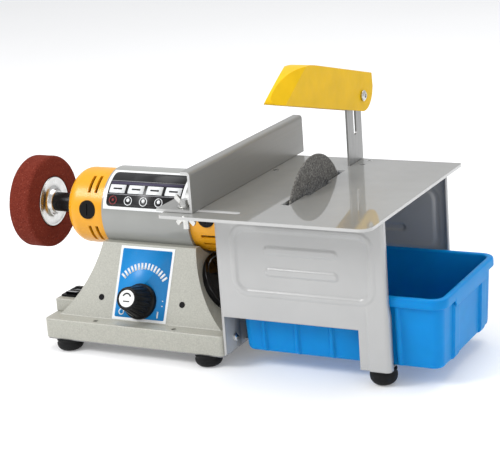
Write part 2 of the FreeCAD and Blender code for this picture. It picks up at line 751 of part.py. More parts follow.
def side_plug(name, x, side):
    """A screw cap flush with the bell's side, slotted across its face."""
    face = dim.spindle_y + (dim.cap_radius + 0.3) * side
    flange = rod(f"{name}_flange", dim.brush_cap_radius, 1.9, (x, face, dim.spindle_height), facing(-side))
    stem = rod(f"{name}_stem", dim.brush_cap_radius - 2.05, 5.5, (x, face, dim.spindle_height), facing(-side))
    slot = box(f"{name}_slot", (1.6, 2, 12), (x - 0.8, face - 1, dim.spindle_height - 6))
    return cut(name, joined(f"{name}_solid", flange, stem), slot)


def motor_inside():
    middle = (dim.barrel_left + dim.barrel_right) / 2
    start = middle - dim.stator_length / 2
    outer = dim.barrel_radius - dim.barrel_wall
    core = washer("stator_ring", outer, dim.stator_bore, dim.stator_length, on_spindle(start), "x")
    windows = [round_spindle(box(f"stator_window_{number}", (dim.stator_length, 12, 8), (0, 0, 0)),
                             start, 45 + 90 * number, -6, 27) for number in range(4)]
    keep("stator_core", cut("stator_core", core, *windows))
    coils = [washer(f"field_coil_{end}", outer - 3, dim.stator_bore + 3, 7, on_spindle(x), "x")
             for end, x in (("left", start - 7), ("right", start + dim.stator_length))]
    keep("field_coils", group("field_coils", coils))

    rotor_bore = dim.shaft_radius
    core = washer("armature_blank", dim.armature_radius, rotor_bore, dim.stator_length,
                  on_spindle(start), "x")
    slots = [round_spindle(box(f"armature_slot_{number}", (dim.stator_length, 2.5, 9), (0, 0, 0)),
                           start, 30 * number, -1.25, dim.armature_radius - 8) for number in range(12)]
    keep("armature_core", cut("armature_core", core, *slots))
    windings = [washer(f"winding_{end}", dim.armature_radius - 3, rotor_bore + 3, 7, on_spindle(x), "x")
                for end, x in (("left", start - 7), ("right", start + dim.stator_length))]
    keep("armature_windings", group("armature_windings", windings))
    collars = [washer(f"collar_{end}", rotor_bore + 3, rotor_bore, 7, on_spindle(x), "x")
               for end, x in (("left", start - 7), ("right", start + dim.stator_length))]
    keep("winding_collars", group("winding_collars", collars))

    brush_x = dim.barrel_left - dim.brush_x
    keep("commutator", washer("commutator", dim.commutator_radius, rotor_bore, 18,
                              on_spindle(brush_x - 9), "x"))
    for name, maker in (("carbon_brushes", carbon_brush), ("brush_holders", brush_holder),
                        ("brush_springs", brush_spring)):
        keep(name, turn_bell(group(name, [maker(f"{name}_{side}", brush_x, side) for side in (-1, 1)])))

    keep("cooling_fan", cooling_fan())
    seats = [(dim.left_cap_end + 3, "left"), (dim.right_cap_end - 3 - dim.bearing_width, "right")]
    keep("bearings", group("bearings", [
        washer(f"bearing_{end}", dim.bearing_radius, dim.shaft_radius + dim.running_gap,
               dim.bearing_width, on_spindle(x), "x") for x, end in seats]))


def facing(side):
    return "y" if side > 0 else "-y"


def carbon_brush(name, x, side):
    reach = dim.commutator_radius + 0.35
    y = dim.spindle_y + (reach if side > 0 else -reach - 10)
    return box(name, (6, 10, 6), (x - 3, y, dim.spindle_height - 3))


def brush_holder(name, x, side):
    """Square tube that guides a brush."""
    inner = dim.commutator_radius + 2
    length = dim.cap_radius - 5.6 - inner
    y = dim.spindle_y + (inner if side > 0 else -inner - length)
    solid = box(f"{name}_solid", (10, length, 10), (x - 5, y, dim.spindle_height - 5))
    hole = box(f"{name}_hole", (6.4, length, 6.4), (x - 3.2, y, dim.spindle_height - 3.2))
    return cut(name, solid, hole)


def brush_spring(name, x, side):
    """The coil spring behind a brush, wound round its own axis."""
    start = dim.commutator_radius + 10.9
    y = dim.spindle_y + (start if side > 0 else -start)
    coil = doc.addObject("Part::Helix", f"{name}_path")
    coil.Pitch = 1.6
    coil.Height = 9
    coil.Radius = 2
    wire = doc.addObject("Part::Circle", f"{name}_wire")
    wire.Radius = 0.35
    wire.Placement = FreeCAD.Placement(FreeCAD.Vector(2, 0, 0), FreeCAD.Rotation(X_AXIS, 90))
    spring = doc.addObject("Part::Sweep", name)
    spring.Sections = [wire]
    spring.Spine = coil
    spring.Solid = True
    spring.Frenet = True
    return place(spring, (x, y, dim.spindle_height), TURN_TO[facing(side)])


def cooling_fan():
    """Radial fan behind the armature."""
    start = dim.barrel_right - 12
    hub = washer("fan_hub", 12, dim.shaft_radius, 10, on_spindle(start), "x")
    disc = washer("fan_disc", 33, dim.shaft_radius, 1.6, on_spindle(start), "x")
    vanes = [round_spindle(box(f"fan_vane_{number}", (9, 1.4, 22), (0, 0, 0)),
                           start + 0.8, 36 * number, -0.7, 10.5) for number in range(10)]
    return joined("cooling_fan", hub, disc, *vanes)


# ---------------------------------------------------------------- spindle, wheel and blade

def spindle_parts():
    keep("motor_shaft", rod("motor_shaft", dim.shaft_radius, dim.shaft_right - dim.shaft_left,
                            on_spindle(dim.shaft_left), "x"))
    wheel_right = dim.wheel_left + dim.wheel_width
    face = wheel_right - dim.wheel_recess
    sleeve_end = dim.left_cap_end + 2.5
    keep("wheel_sleeve", washer("wheel_sleeve", dim.sleeve_radius, dim.shaft_radius,
                                sleeve_end - face - 7, on_spindle(face + 7), "x"))

    wheel = grinding_wheel()
    keep("grinding_wheel", wheel)
    inner = turned("wheel_flange_right", wheel_flange_profile(), on_spindle(face), "x")
    outer = turned("wheel_flange_left", wheel_flange_profile(),
                   on_spindle(dim.wheel_left + dim.wheel_recess), "-x")
    keep("wheel_flanges", group("wheel_flanges", [inner, outer]))
    keep("wheel_nut", hexagon_nut("wheel_nut", 17, 6, dim.shaft_radius,
                                  on_spindle(dim.wheel_left + dim.wheel_recess - 7 - 6), "x"))

    keep("saw_blade", washer("saw_blade", dim.blade_radius, dim.shaft_radius, dim.blade_gauge,
                             on_spindle(dim.blade_x - dim.blade_gauge / 2), "x"))
    edge = dim.blade_gauge / 2
    near_side = turned("blade_flange_left", blade_flange_profile(), on_spindle(dim.blade_x - edge), "-x")
    far_side = turned("blade_flange_right", blade_flange_profile(), on_spindle(dim.blade_x + edge), "x")
    keep("blade_flanges", group("blade_flanges", [near_side, far_side]))
    keep("blade_nut", hexagon_nut("blade_nut", 17, 7, dim.shaft_radius,
                                  on_spindle(dim.blade_x + edge + dim.blade_flange_width), "x"))
    keep("blade_spacer", washer("blade_spacer", 8, dim.shaft_radius,
                                dim.blade_x - edge - dim.blade_flange_width - dim.right_cap_end - 1,
                                on_spindle(dim.right_cap_end + 1), "x"))


def grinding_wheel():
    """Bonded abrasive wheel with worn round edges, sunk a little round its bore."""
    width = dim.wheel_width
    radius = dim.wheel_radius
    edge = dim.wheel_edge
    sunk = dim.wheel_flange_radius + 1
    recess = dim.wheel_recess
    profile = [
        (dim.shaft_radius, recess), (sunk, recess), (sunk, 0), (radius - edge, 0),
        (radius, edge, edge, -1), (radius, width - edge), (radius - edge, width, edge, -1), (sunk, width),
        (sunk, width - recess), (dim.shaft_radius, width - recess),
    ]
    return turned("grinding_wheel", profile, on_spindle(dim.wheel_left), "x")


def wheel_flange_profile():
    """Dished steel clamping flange with a round boss."""
    return [
        (dim.shaft_radius, 0), (dim.wheel_flange_radius, 0), (dim.wheel_flange_radius, 2),
        (14, 3), (11, 7), (dim.shaft_radius, 7),
    ]


def blade_flange_profile():
    return [
        (dim.shaft_radius, 0), (dim.blade_flange_radius, 0), (dim.blade_flange_radius, 2.5),
        (11, dim.blade_flange_width), (dim.shaft_radius, dim.blade_flange_width),
    ]


# ---------------------------------------------------------------- table and frame

def side_panel(name, front):
    """Folded sheet: a panel with one leg, a foot tab, a top flange and a return to the base."""
    gauge = dim.sheet_gauge
    outer = dim.frame_front if front else dim.frame_back
    inward = 1 if front else -1
    body = new_body(name, (0, outer, 0))
    left = dim.frame_left + gauge
    top = dim.table_height - dim.table_gauge
    fold = [
        (left, 0), (dim.frame_right, 0), (dim.frame_right, gauge * inward),
        (left + gauge, gauge * inward), (left + gauge, dim.flange_depth * inward),
        (left, dim.flange_depth * inward),
    ]
    pad(body, outline(new_sketch(body, "XY_Plane", dim.flange_bottom), fold), top - dim.flange_bottom)
    round_edges(body, 0.9, lambda edge: runs_along(edge, 2) and near(edge, x=left, y=0))
    window = rectangle(left + gauge, 0, dim.frame_right - dim.leg_width, dim.panel_bottom)
    pocket(body, outline(new_sketch(body, "XZ_Plane"), window), gauge * 4)
    heel = rectangle(dim.frame_right - dim.leg_width - 1, 0, dim.frame_right + 1, dim.tab_bottom)
    pocket(body, outline(new_sketch(body, "XZ_Plane"), heel), gauge * 4)
    tab = rectangle(dim.frame_right - dim.leg_width, 0, dim.frame_right, dim.tab_depth * inward)
    tab_sketch = outline(new_sketch(body, "XY_Plane", dim.tab_bottom), tab)
    circle(tab_sketch, dim.frame_right - dim.leg_foot_inset, dim.leg_foot_radius * inward, 2.2)
    pad(body, tab_sketch, gauge)
    flange = rectangle(left + 20, 0, dim.frame_right - 10, dim.top_flange_depth * inward)
    flange_sketch = outline(new_sketch(body, "XY_Plane", top - gauge), flange)
    for x in stud_columns():
        circle(flange_sketch, x, 9 * inward, dim.stud_radius + 0.3)
    pad(body, flange_sketch, gauge)
    hole = circle(new_sketch(body, "YZ_Plane", left), 20 * inward, dim.frame_bolt_height,
                  dim.frame_bolt_radius + 0.1)
    pocket(body, hole, gauge * 4)
    return body


def stud_columns():
    return (dim.frame_left + 36, dim.frame_right - 24)


def splash_plate():
    """Upright sheet between the base and the wet side, with a lip that carries the tray."""
    gauge = dim.sheet_gauge
    left = dim.frame_left
    body = new_body("splash_plate", (left, 0, 0))
    top = dim.table_height - dim.table_gauge
    wall = rectangle(dim.frame_front + gauge, dim.flange_bottom, dim.frame_back - gauge, top)
    face = outline(new_sketch(body, "YZ_Plane"), wall)
    circle(face, dim.spindle_y, dim.spindle_height, dim.spindle_hole_radius)
    for y in frame_bolt_rows():
        circle(face, y, dim.frame_bolt_height, dim.frame_bolt_radius + 0.1)
    pad(body, face, gauge)
    lip = rectangle(0, dim.spindle_y - 46, dim.tray_lip_depth, dim.spindle_y + 38)
    pad(body, outline(new_sketch(body, "XY_Plane", dim.tab_bottom), lip), gauge)
    ear = outline(new_sketch(body, "XY_Plane", top - gauge),
                  rectangle(-11, dim.table_screw_y - 12, gauge, dim.table_screw_y + 12))
    circle(ear, dim.table_screw_x - left, dim.table_screw_y, 2.1)
    pad(body, ear, gauge)
    return body


def frame_bolt_rows():
    return (dim.frame_front + 20, dim.frame_back - 20)


def frame_bolt(name, y):
    """Pan head bolt that holds the frame to the base."""
    x = dim.frame_left + dim.sheet_gauge * 2
    z = dim.frame_bolt_height
    head = turned(f"{name}_head", [(0, 0), (4.5, 0), (4.2, 1.6), (2.5, 2.8), (0, 3)], (x, y, z), "x")
    shank = rod(f"{name}_shank", dim.frame_bolt_radius, 14, (x, y, z), "-x")
    cross = joined(f"{name}_cross",
                   box(f"{name}_cross_a", (4, 5, 1.1), (x + 1.4, y - 2.5, z - 0.55)),
                   box(f"{name}_cross_b", (4, 1.1, 5), (x + 1.4, y - 0.55, z - 2.5)))
    return cut(name, joined(f"{name}_solid", head, shank), cross)


def table_top():
    """Sheet steel table with a blade slot, a fence slot in an ear, and weld studs below."""
    body = new_body("table_top", (0, dim.table_front, dim.table_height - dim.table_gauge))
    right = dim.table_right
    left = right - dim.table_width
    ear = left - dim.ear_width
    corner = dim.table_corner
    depth = dim.table_depth
    sketch = new_sketch(body, "XY_Plane")
    outline(sketch, [
        (ear + 4, 0, 4, -1), (right - corner, 0), (right, corner, corner, -1), (right, depth - 3),
        (right - 3, depth, 3, -1), (left + 3, depth), (left, depth - 3, 3, -1), (left, dim.ear_depth),
        (ear + 4, dim.ear_depth), (ear, dim.ear_depth - 4, 4, -1), (ear, 4),
    ])
    slot = dim.blade_slot_width / 2
    middle = dim.spindle_y - dim.table_front
    reach = dim.blade_slot_length / 2
    outline(sketch, rectangle(dim.blade_x - slot, middle - reach, dim.blade_x + slot, middle + reach))
    half = dim.fence_slot_width / 2
    row = dim.clamp_y - dim.table_front
    outline(sketch, slot_along_x(dim.fence_slot_left, dim.fence_slot_right, row, half))
    pad(body, sketch, dim.table_gauge)
    window = rectangle(dim.blade_x, dim.slot_window_front - dim.table_front,
                       dim.blade_x + slot + dim.slot_window_width, dim.slot_window_back - dim.table_front)
    pocket(body, outline(new_sketch(body, "XY_Plane"), window), dim.table_gauge * 4)
    notch = rectangle(dim.blade_x - dim.bracket_gauge / 2 - 0.4, dim.bracket_front - 0.5 - dim.table_front,
                      dim.blade_x + dim.bracket_gauge / 2 + 0.4, depth + 1)
    pocket(body, outline(new_sketch(body, "XY_Plane"), notch), dim.table_gauge * 4)
    studs = [rod(f"table_stud_{number}", dim.stud_radius, 10, (x, y, z), "z")
             for number, (x, y, z) in enumerate(stud_places(), start=1)]
    screw_seats = [turned(f"screw_seat_{number}", [(0, -4), (2.1, -4), (2.1, -1.6), (3.8, 0.1), (0, 0.1)], at)
                   for number, at in enumerate(table_screw_places(), start=1)]
    return cut("table_top_drilled", joined("table_top_welded", body, *studs), *screw_seats)


def table_screw_places():
    """One screw into the splash plate's ear, and two into the foot of the bracket."""
    height = dim.table_height
    return [(dim.table_screw_x, dim.table_screw_y, height)] + [
        (bracket_screw_x(), y, height) for y in bracket_screw_rows()]


def table_screw(name, at):
    """Countersunk screw, flush with the table."""
    solid = turned(f"{name}_solid", [(0, -10.5), (2, -10.5), (2, -1.6), (3.6, 0), (0, 0)], at)
    return cut(name, solid, cross_recess(f"{name}_cross", at, 1.1))


def cross_recess(name, at, depth):
    """Cutter for the cross in a screw's head, seen from above."""
    x, y, z = at
    return joined(name,
                  box(f"{name}_a", (4, 0.9, depth + 1), (x - 2, y - 0.45, z - depth)),
                  box(f"{name}_b", (0.9, 4, depth + 1), (x - 0.45, y - 2, z - depth)))


def stud_places():
    top = dim.table_height - dim.table_gauge
    rows = (dim.frame_front + 9, dim.frame_back - 9)
    return [(x, y, top - 9.5) for x in stud_columns() for y in rows]


def bracket_screw_x():
    return dim.blade_x + dim.bracket_gauge / 2 + 11


def bracket_screw_rows():
    return (dim.bracket_front + 9, dim.bracket_front + 25)


def guard_bracket():
    """Steel upright with a long slot, passing through the table to a folded foot below it."""
    gauge = dim.bracket_gauge
    body = new_body("guard_bracket", (dim.blade_x - gauge / 2, dim.bracket_front, dim.table_height))
    width = dim.bracket_width
    rise = dim.bracket_rise
    half = width / 2
    low = -(dim.table_gauge + gauge)
    face = new_sketch(body, "YZ_Plane")
    outline(face, [
        (0, low), (width, low), (width, rise - half), (half, rise, half, -1), (0, rise - half, half, -1),
    ])
    pad(body, face, gauge)
    foot = outline(new_sketch(body, "XY_Plane", low), rectangle(0, 0, gauge + dim.bracket_foot, width - 4))
    for y in bracket_screw_rows():
        circle(foot, bracket_screw_x() - dim.blade_x + gauge / 2, y - dim.bracket_front, 2.2)
    pad(body, foot, gauge)
    slot = dim.guard_bolt_radius + 0.3
    middle = dim.pivot_y - dim.bracket_front
    channel = outline(new_sketch(body, "YZ_Plane"),
                      slot_along_y(dim.bracket_slot_low, dim.bracket_slot_high, middle, slot))
    pocket(body, channel, gauge * 4)
    round_edges(body, 1.6, lambda edge: runs_along(edge, 1) and near(edge, x=0, z=low))
    return body


# ---------------------------------------------------------------- fence

def fence():
    """Folded rip fence: upright face, top lip turned left and a front tab under the wing bolt."""
    gauge = dim.fence_gauge
    body = new_body("fence", (dim.fence_face, dim.fence_front, dim.table_height + 0.3))
    rise = dim.fence_rise
    lip = gauge + dim.fence_lip
    section = [
        (-gauge, 0), (0, 0), (0, rise), (-lip, rise), (-lip, rise - gauge), (-gauge, rise - gauge),
    ]
    pad(body, outline(new_sketch(body, "XZ_Plane"), section), dim.fence_length, reverse=True)
    tab = new_sketch(body, "XY_Plane")
    outline(tab, rectangle(-gauge - dim.fence_tab_width, 0, 0, dim.fence_tab_depth))
    circle(tab, dim.clamp_x - dim.fence_face, dim.clamp_y - dim.fence_front, 3.3)
    pad(body, tab, gauge)
    round_edges(body, 3.4, lambda edge: runs_along(edge, 1) and near(edge, x=0, z=rise))
    round_edges(body, 1.2, lambda edge: runs_along(edge, 1) and near(edge, x=-gauge, z=gauge))
    return body


def wings(name, at, height, lean):
    """Two flat leaning wings on a round hub, as on a wing bolt or wing nut."""
    x, y, z = at
    hub = turned(f"{name}_hub", [(0, 0), (5, 0), (4, 6 * height), (0, 6 * height)], (x, y, z))
    pieces = [hub]
    for side in (-1, 1):
        wing = new_body(f"{name}_wing_{side + 1}", (x, y, z))
        shape = [(2.5 * side, 0.5 * height), (5 * side, 1.5 * height),
                 (dim.wing_reach * side, (6 + lean) * height),
                 ((dim.wing_reach - 2.5) * side, (10 + lean) * height), (2.5 * side, 5 * height)]
        pad(wing, outline(new_sketch(wing, "XZ_Plane"), shape), 2.4, both_ways=True)
        round_edges(wing, 1.1, lambda edge: runs_along(edge, 1)
                    and abs(edge.CenterOfMass.x) > number_of(dim.wing_reach) - 3)
        pieces.append(wing)
    return pieces


def fence_clamp():
    top = dim.table_height + 0.3 + dim.fence_gauge
    at = (dim.clamp_x, dim.clamp_y, top + 1.2)
    shank = rod("wing_bolt_shank", 3, 26, (dim.clamp_x, dim.clamp_y, top + 3 - 24))
    keep("wing_bolt", joined("wing_bolt", shank, *wings("wing_bolt", at, 1, 1)))
    low = dim.table_height - dim.table_gauge
    washers = [washer("fence_washer_top", 7, 3.1, 1.2, (dim.clamp_x, dim.clamp_y, top)),
               washer("fence_washer_low", 7, 3.1, 1.2, (dim.clamp_x, dim.clamp_y, low - 1.5))]
    keep("fence_washers", group("fence_washers", washers))
    nut_at = (dim.clamp_x, dim.clamp_y, low - 1.8)
    bore = rod("wing_nut_bore", dim.running_gap + 3, 20, (dim.clamp_x, dim.clamp_y, low - 16))
    keep("wing_nut", cut("wing_nut", joined("wing_nut_solid", *wings("wing_nut", nut_at, -1, 1)), bore))


# ---------------------------------------------------------------- blade guard

def blade_guard():
    """Moulded hood over the blade, open below, slit behind so that it rides on its bracket."""
    tilt = FreeCAD.Rotation(X_AXIS, -number_of(dim.guard_tilt))
    pivot = (dim.blade_x, dim.pivot_y, dim.table_height + dim.pivot_rise)
    body = new_body("guard_shell", pivot, tilt)
    tail = -dim.guard_tail
    nose = -dim.guard_nose
    brow = -dim.guard_brow
    side_view = [(tail, dim.guard_bottom), (tail, dim.guard_top - 13), (tail - 4.5, dim.guard_top),
                 (brow, dim.guard_top), (nose, dim.guard_bottom, dim.nose_radius, -1)]
    pad(body, outline(new_sketch(body, "YZ_Plane"), side_view), dim.guard_width, both_ways=True)
    round_edges(body, 4, lambda edge: runs_along(edge, 0) and near(edge, y=nose, z=dim.guard_bottom))
    round_edges(body, 22, lambda edge: runs_along(edge, 0) and near(edge, y=tail, z=dim.guard_bottom))
    round_edges(body, 2, lambda edge: runs_along(edge, 0) and near(edge, y=tail - 4.5, z=dim.guard_top))
    wall = dim.guard_wall
    waist = brow - 9.5
    under = dim.guard_bottom - 1
    roof = dim.guard_top - wall
    hollow = rectangle(waist, under, tail + 1, roof)
    pocket(body, outline(new_sketch(body, "YZ_Plane"), hollow), dim.guard_width - wall * 2)
    nose_hollow = [(waist + 1, under), (waist + 1, roof - 1.5), (waist - 34, dim.guard_top - 14),
                   (nose + 14, under)]
    pocket(body, outline(new_sketch(body, "YZ_Plane"), nose_hollow), 5.5)
    slit = rectangle(-3.5, -62, 3.5, tail + 1)
    pocket(body, outline(new_sketch(body, "XY_Plane", dim.guard_top), slit), 12)
    hole = circle(new_sketch(body, "YZ_Plane"), 0, 0, dim.guard_bolt_radius + dim.running_gap)
    pocket(body, hole, dim.guard_width + 2)
    bevels = [guard_bevel(side, pivot, tilt) for side in (-1, 1)]
    return cut("blade_guard", body, *bevels)


def guard_bevel(side, pivot, tilt):
    """Cutter that thins one cheek of the guard towards its nose."""
    start = FreeCAD.Vector(number_of(dim.guard_width) / 2 * side, -21.5 - number_of(dim.guard_brow),
                           number_of(dim.guard_top) - 2)
    along = FreeCAD.Rotation(X_AXIS, -47)
    inward = FreeCAD.Rotation(Z_AXIS, -35 * side)
    block = box(f"guard_bevel_{side + 1}", (40, 140, 180), (0, 0, 0))
    corner = FreeCAD.Vector(0 if side > 0 else -40, -140, -120)
    local = FreeCAD.Placement(start, along).multiply(FreeCAD.Placement(FreeCAD.Vector(), inward))
    local = local.multiply(FreeCAD.Placement(corner, FreeCAD.Rotation()))
    base = FreeCAD.Vector(*[number_of(size) for size in pivot])
    block.Placement = FreeCAD.Placement(base, tilt).multiply(local)
    return block


def guard_fasteners():
    y = dim.pivot_y
    z = dim.table_height + dim.pivot_rise
    reach = dim.guard_width / 2
    shank = rod("guard_bolt_shank", dim.guard_bolt_radius, dim.guard_width + 8,
                (dim.blade_x - reach - 7, y, z), "x")
    head = turned("guard_bolt_head", [(0, 0), (5.5, 0), (5.5, 1.6), (3.5, 3), (0, 3.2)],
                  (dim.blade_x + reach + 0.3, y, z), "x")
    recess = hexagon_nut("guard_bolt_recess", 4, 3, 0, (dim.blade_x + reach + 1.8, y, z), "x")
    keep("guard_bolt", cut("guard_bolt", joined("guard_bolt_solid", shank, head), recess))
    keep("guard_nut", hexagon_nut("guard_nut", 10, 5, dim.guard_bolt_radius,
                                  (dim.blade_x - reach - 5.3, y, z), "x"))


# ---------------------------------------------------------------- water tray

def water_tray():
    """Moulded tray with drafted walls and a turned-down rim."""
    low = dim.tab_bottom + dim.sheet_gauge + 0.2
    body = new_body("water_tray", (dim.tray_left, dim.tray_middle_y, low))
    draft = dim.tray_draft
    half = dim.tray_depth / 2
    length = dim.tray_length
    corner = dim.tray_corner
    wall = dim.tray_wall
    rim = dim.rim_width
    levels = [(0, draft + rim), (dim.tray_rise, rim)]
    loft_between(body, "AdditiveLoft", levels, length, half, corner, 0)
    brim = round_rectangle(0, -half, length, half, corner)
    pad(body, outline(new_sketch(body, "XY_Plane", dim.tray_rise - dim.rim_height), brim), dim.rim_height)
    skirt = new_sketch(body, "XY_Plane", dim.tray_rise - dim.rim_height)
    outline(skirt, round_rectangle(1.8, 1.8 - half, length - 1.8, half - 1.8, corner - 1.8))
    outline(skirt, round_rectangle(rim, rim - half, length - rim, half - rim, corner - rim))
    pocket(body, skirt, (dim.rim_height - wall) * 2)
    inner_levels = [(wall, draft + rim + wall), (dim.tray_rise + 0.01, rim + wall)]
    loft_between(body, "SubtractiveLoft", inner_levels, length, half, corner, wall)
    return body


def loft_between(body, kind, levels, length, half, corner, wall):
    """A tapering block between two heights, each level being (height, inset)."""
    sketches = [
        outline(new_sketch(body, "XY_Plane", height),
                round_rectangle(inset, inset - half, length - inset, half - inset, corner - wall))
        for height, inset in levels
    ]
    feature = body.newObject(f"PartDesign::{kind}", f"{body.Name}_{kind}")
    feature.Profile = sketches[0]
    feature.Sections = [sketches[1]]
    feature.Ruled = True
    return feature


# ---------------------------------------------------------------- small parts

def motor_label():
    """Thin printed foil wrapped round the front of the barrel."""
    name = "rating_label"
    outer = dim.barrel_radius + 0.3
    start = on_spindle(dim.barrel_left + 2)
    return ring_sector(name, outer, dim.barrel_radius, dim.motor_label_length, start, 194, 64)


def cord_gland():
    """Empty cable gland at the back of the base."""
    return turned("cord_gland", [(4, 0), (9, 0), (9, 3), (7, 4), (6.5, 14), (4, 14)], gland_place(0), "y")


def gland_place(out):
    """A point on the gland's axis, measured outward from the plinth's back."""
    return (dim.base_middle - 60, dim.spindle_y + dim.base_depth / 2 + out, dim.plinth_bottom + 8)


def table_nut(name, at):
    return hexagon_nut(name, 7, 3.2, dim.stud_radius, at)


def table_nut_places():
    """Under the flanges at the four studs, and under the bracket's foot at its two screws."""
    under = dim.table_height - dim.table_gauge
    places = [(x, y, under - dim.sheet_gauge - 3.2) for x, y, _ in stud_places()]
    return places + [(bracket_screw_x(), y, under - dim.bracket_gauge - 3.2) for y in bracket_screw_rows()]


# ---------------------------------------------------------------- assembly

keep("base_casting", base_casting())
keep("bottom_plate", bottom_plate())
feet()
keep("access_cover", access_cover())
controls()
switch_parts()
keep("cord_gland", cord_gland())
motor_housing()
keep("rating_label", motor_label())
motor_inside()
spindle_parts()
keep("front_panel", side_panel("front_panel", True))
keep("back_panel", side_panel("back_panel", False))
keep("splash_plate", splash_plate())
keep("frame_bolts", copies("frame_bolts", frame_bolt, frame_bolt_rows()))
keep("table_top", table_top())
keep("table_nuts", copies("table_nuts", table_nut, table_nut_places()))
keep("table_screws", copies("table_screws", table_screw, table_screw_places()))
keep("guard_bracket", guard_bracket())
keep("fence", fence())
fence_clamp()
guard_fasteners()
keep("blade_guard", blade_guard())
keep("water_tray", water_tray())

doc.recompute()
problems = [f"{item.Label}: {item.State}" for item in doc.Objects
            if "Invalid" in item.State or "Error" in item.State]
for name, item in parts.items():
    if item.Shape.isNull() or not item.Shape.isValid():
        problems.append(f"{name}: bad shape")
if problems:
    raise RuntimeError("; ".join(problems))

os.makedirs("parts", exist_ok=True)
for name, item in parts.items():
    item.Shape.exportStep(f"parts/{name}.step")
    print(name, len(item.Shape.Solids), round(item.Shape.Volume))
print(len(parts), "sub-parts")
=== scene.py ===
import json
import math

import bmesh
import bpy
from mathutils import Matrix, Vector, noise


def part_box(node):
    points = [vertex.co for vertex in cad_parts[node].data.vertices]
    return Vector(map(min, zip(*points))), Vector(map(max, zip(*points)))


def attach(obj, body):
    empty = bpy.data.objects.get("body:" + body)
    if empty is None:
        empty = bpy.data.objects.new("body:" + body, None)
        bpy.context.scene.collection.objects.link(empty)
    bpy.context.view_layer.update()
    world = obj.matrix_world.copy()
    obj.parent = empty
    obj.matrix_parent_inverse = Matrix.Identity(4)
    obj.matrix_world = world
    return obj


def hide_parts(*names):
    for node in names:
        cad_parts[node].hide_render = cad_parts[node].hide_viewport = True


# The looks of the bench saw and grinder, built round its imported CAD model.
# Lengths are in metres in the machine's frame: +X to the tray, +Y to the back, +Z up.

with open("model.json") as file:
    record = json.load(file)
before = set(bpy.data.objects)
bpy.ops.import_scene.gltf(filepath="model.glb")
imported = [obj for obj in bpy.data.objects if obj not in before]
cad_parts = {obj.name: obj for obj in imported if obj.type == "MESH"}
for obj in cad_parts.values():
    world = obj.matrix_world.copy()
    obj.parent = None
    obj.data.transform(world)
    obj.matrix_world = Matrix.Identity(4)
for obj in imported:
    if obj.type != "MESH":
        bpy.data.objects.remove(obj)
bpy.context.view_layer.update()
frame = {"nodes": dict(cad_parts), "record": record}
MM = 0.001

# Places that several pieces share, in mm.
SPINDLE_Y, SPINDLE_Z = -4.0, 130.0
SPINDLE_RADIUS = 5.1
WHEEL_RECESS = 2.0
FRONT_WALL, BACK_WALL = -93.0, 77.0
BASE_X, BASE_Y = -73.0, -4.0
SLOPE_FOOT_Y, SLOPE_FOOT_Z = -78.0, 33.5
SLOPE_LEAN = math.radians(25.085)
KNOB_UP = 20.5
BARREL_RADIUS = 42.3
BARREL_LABEL_LEFT = -123.0
BARREL_LABEL_START = math.radians(12)


# ---------------------------------------------------------------- materials

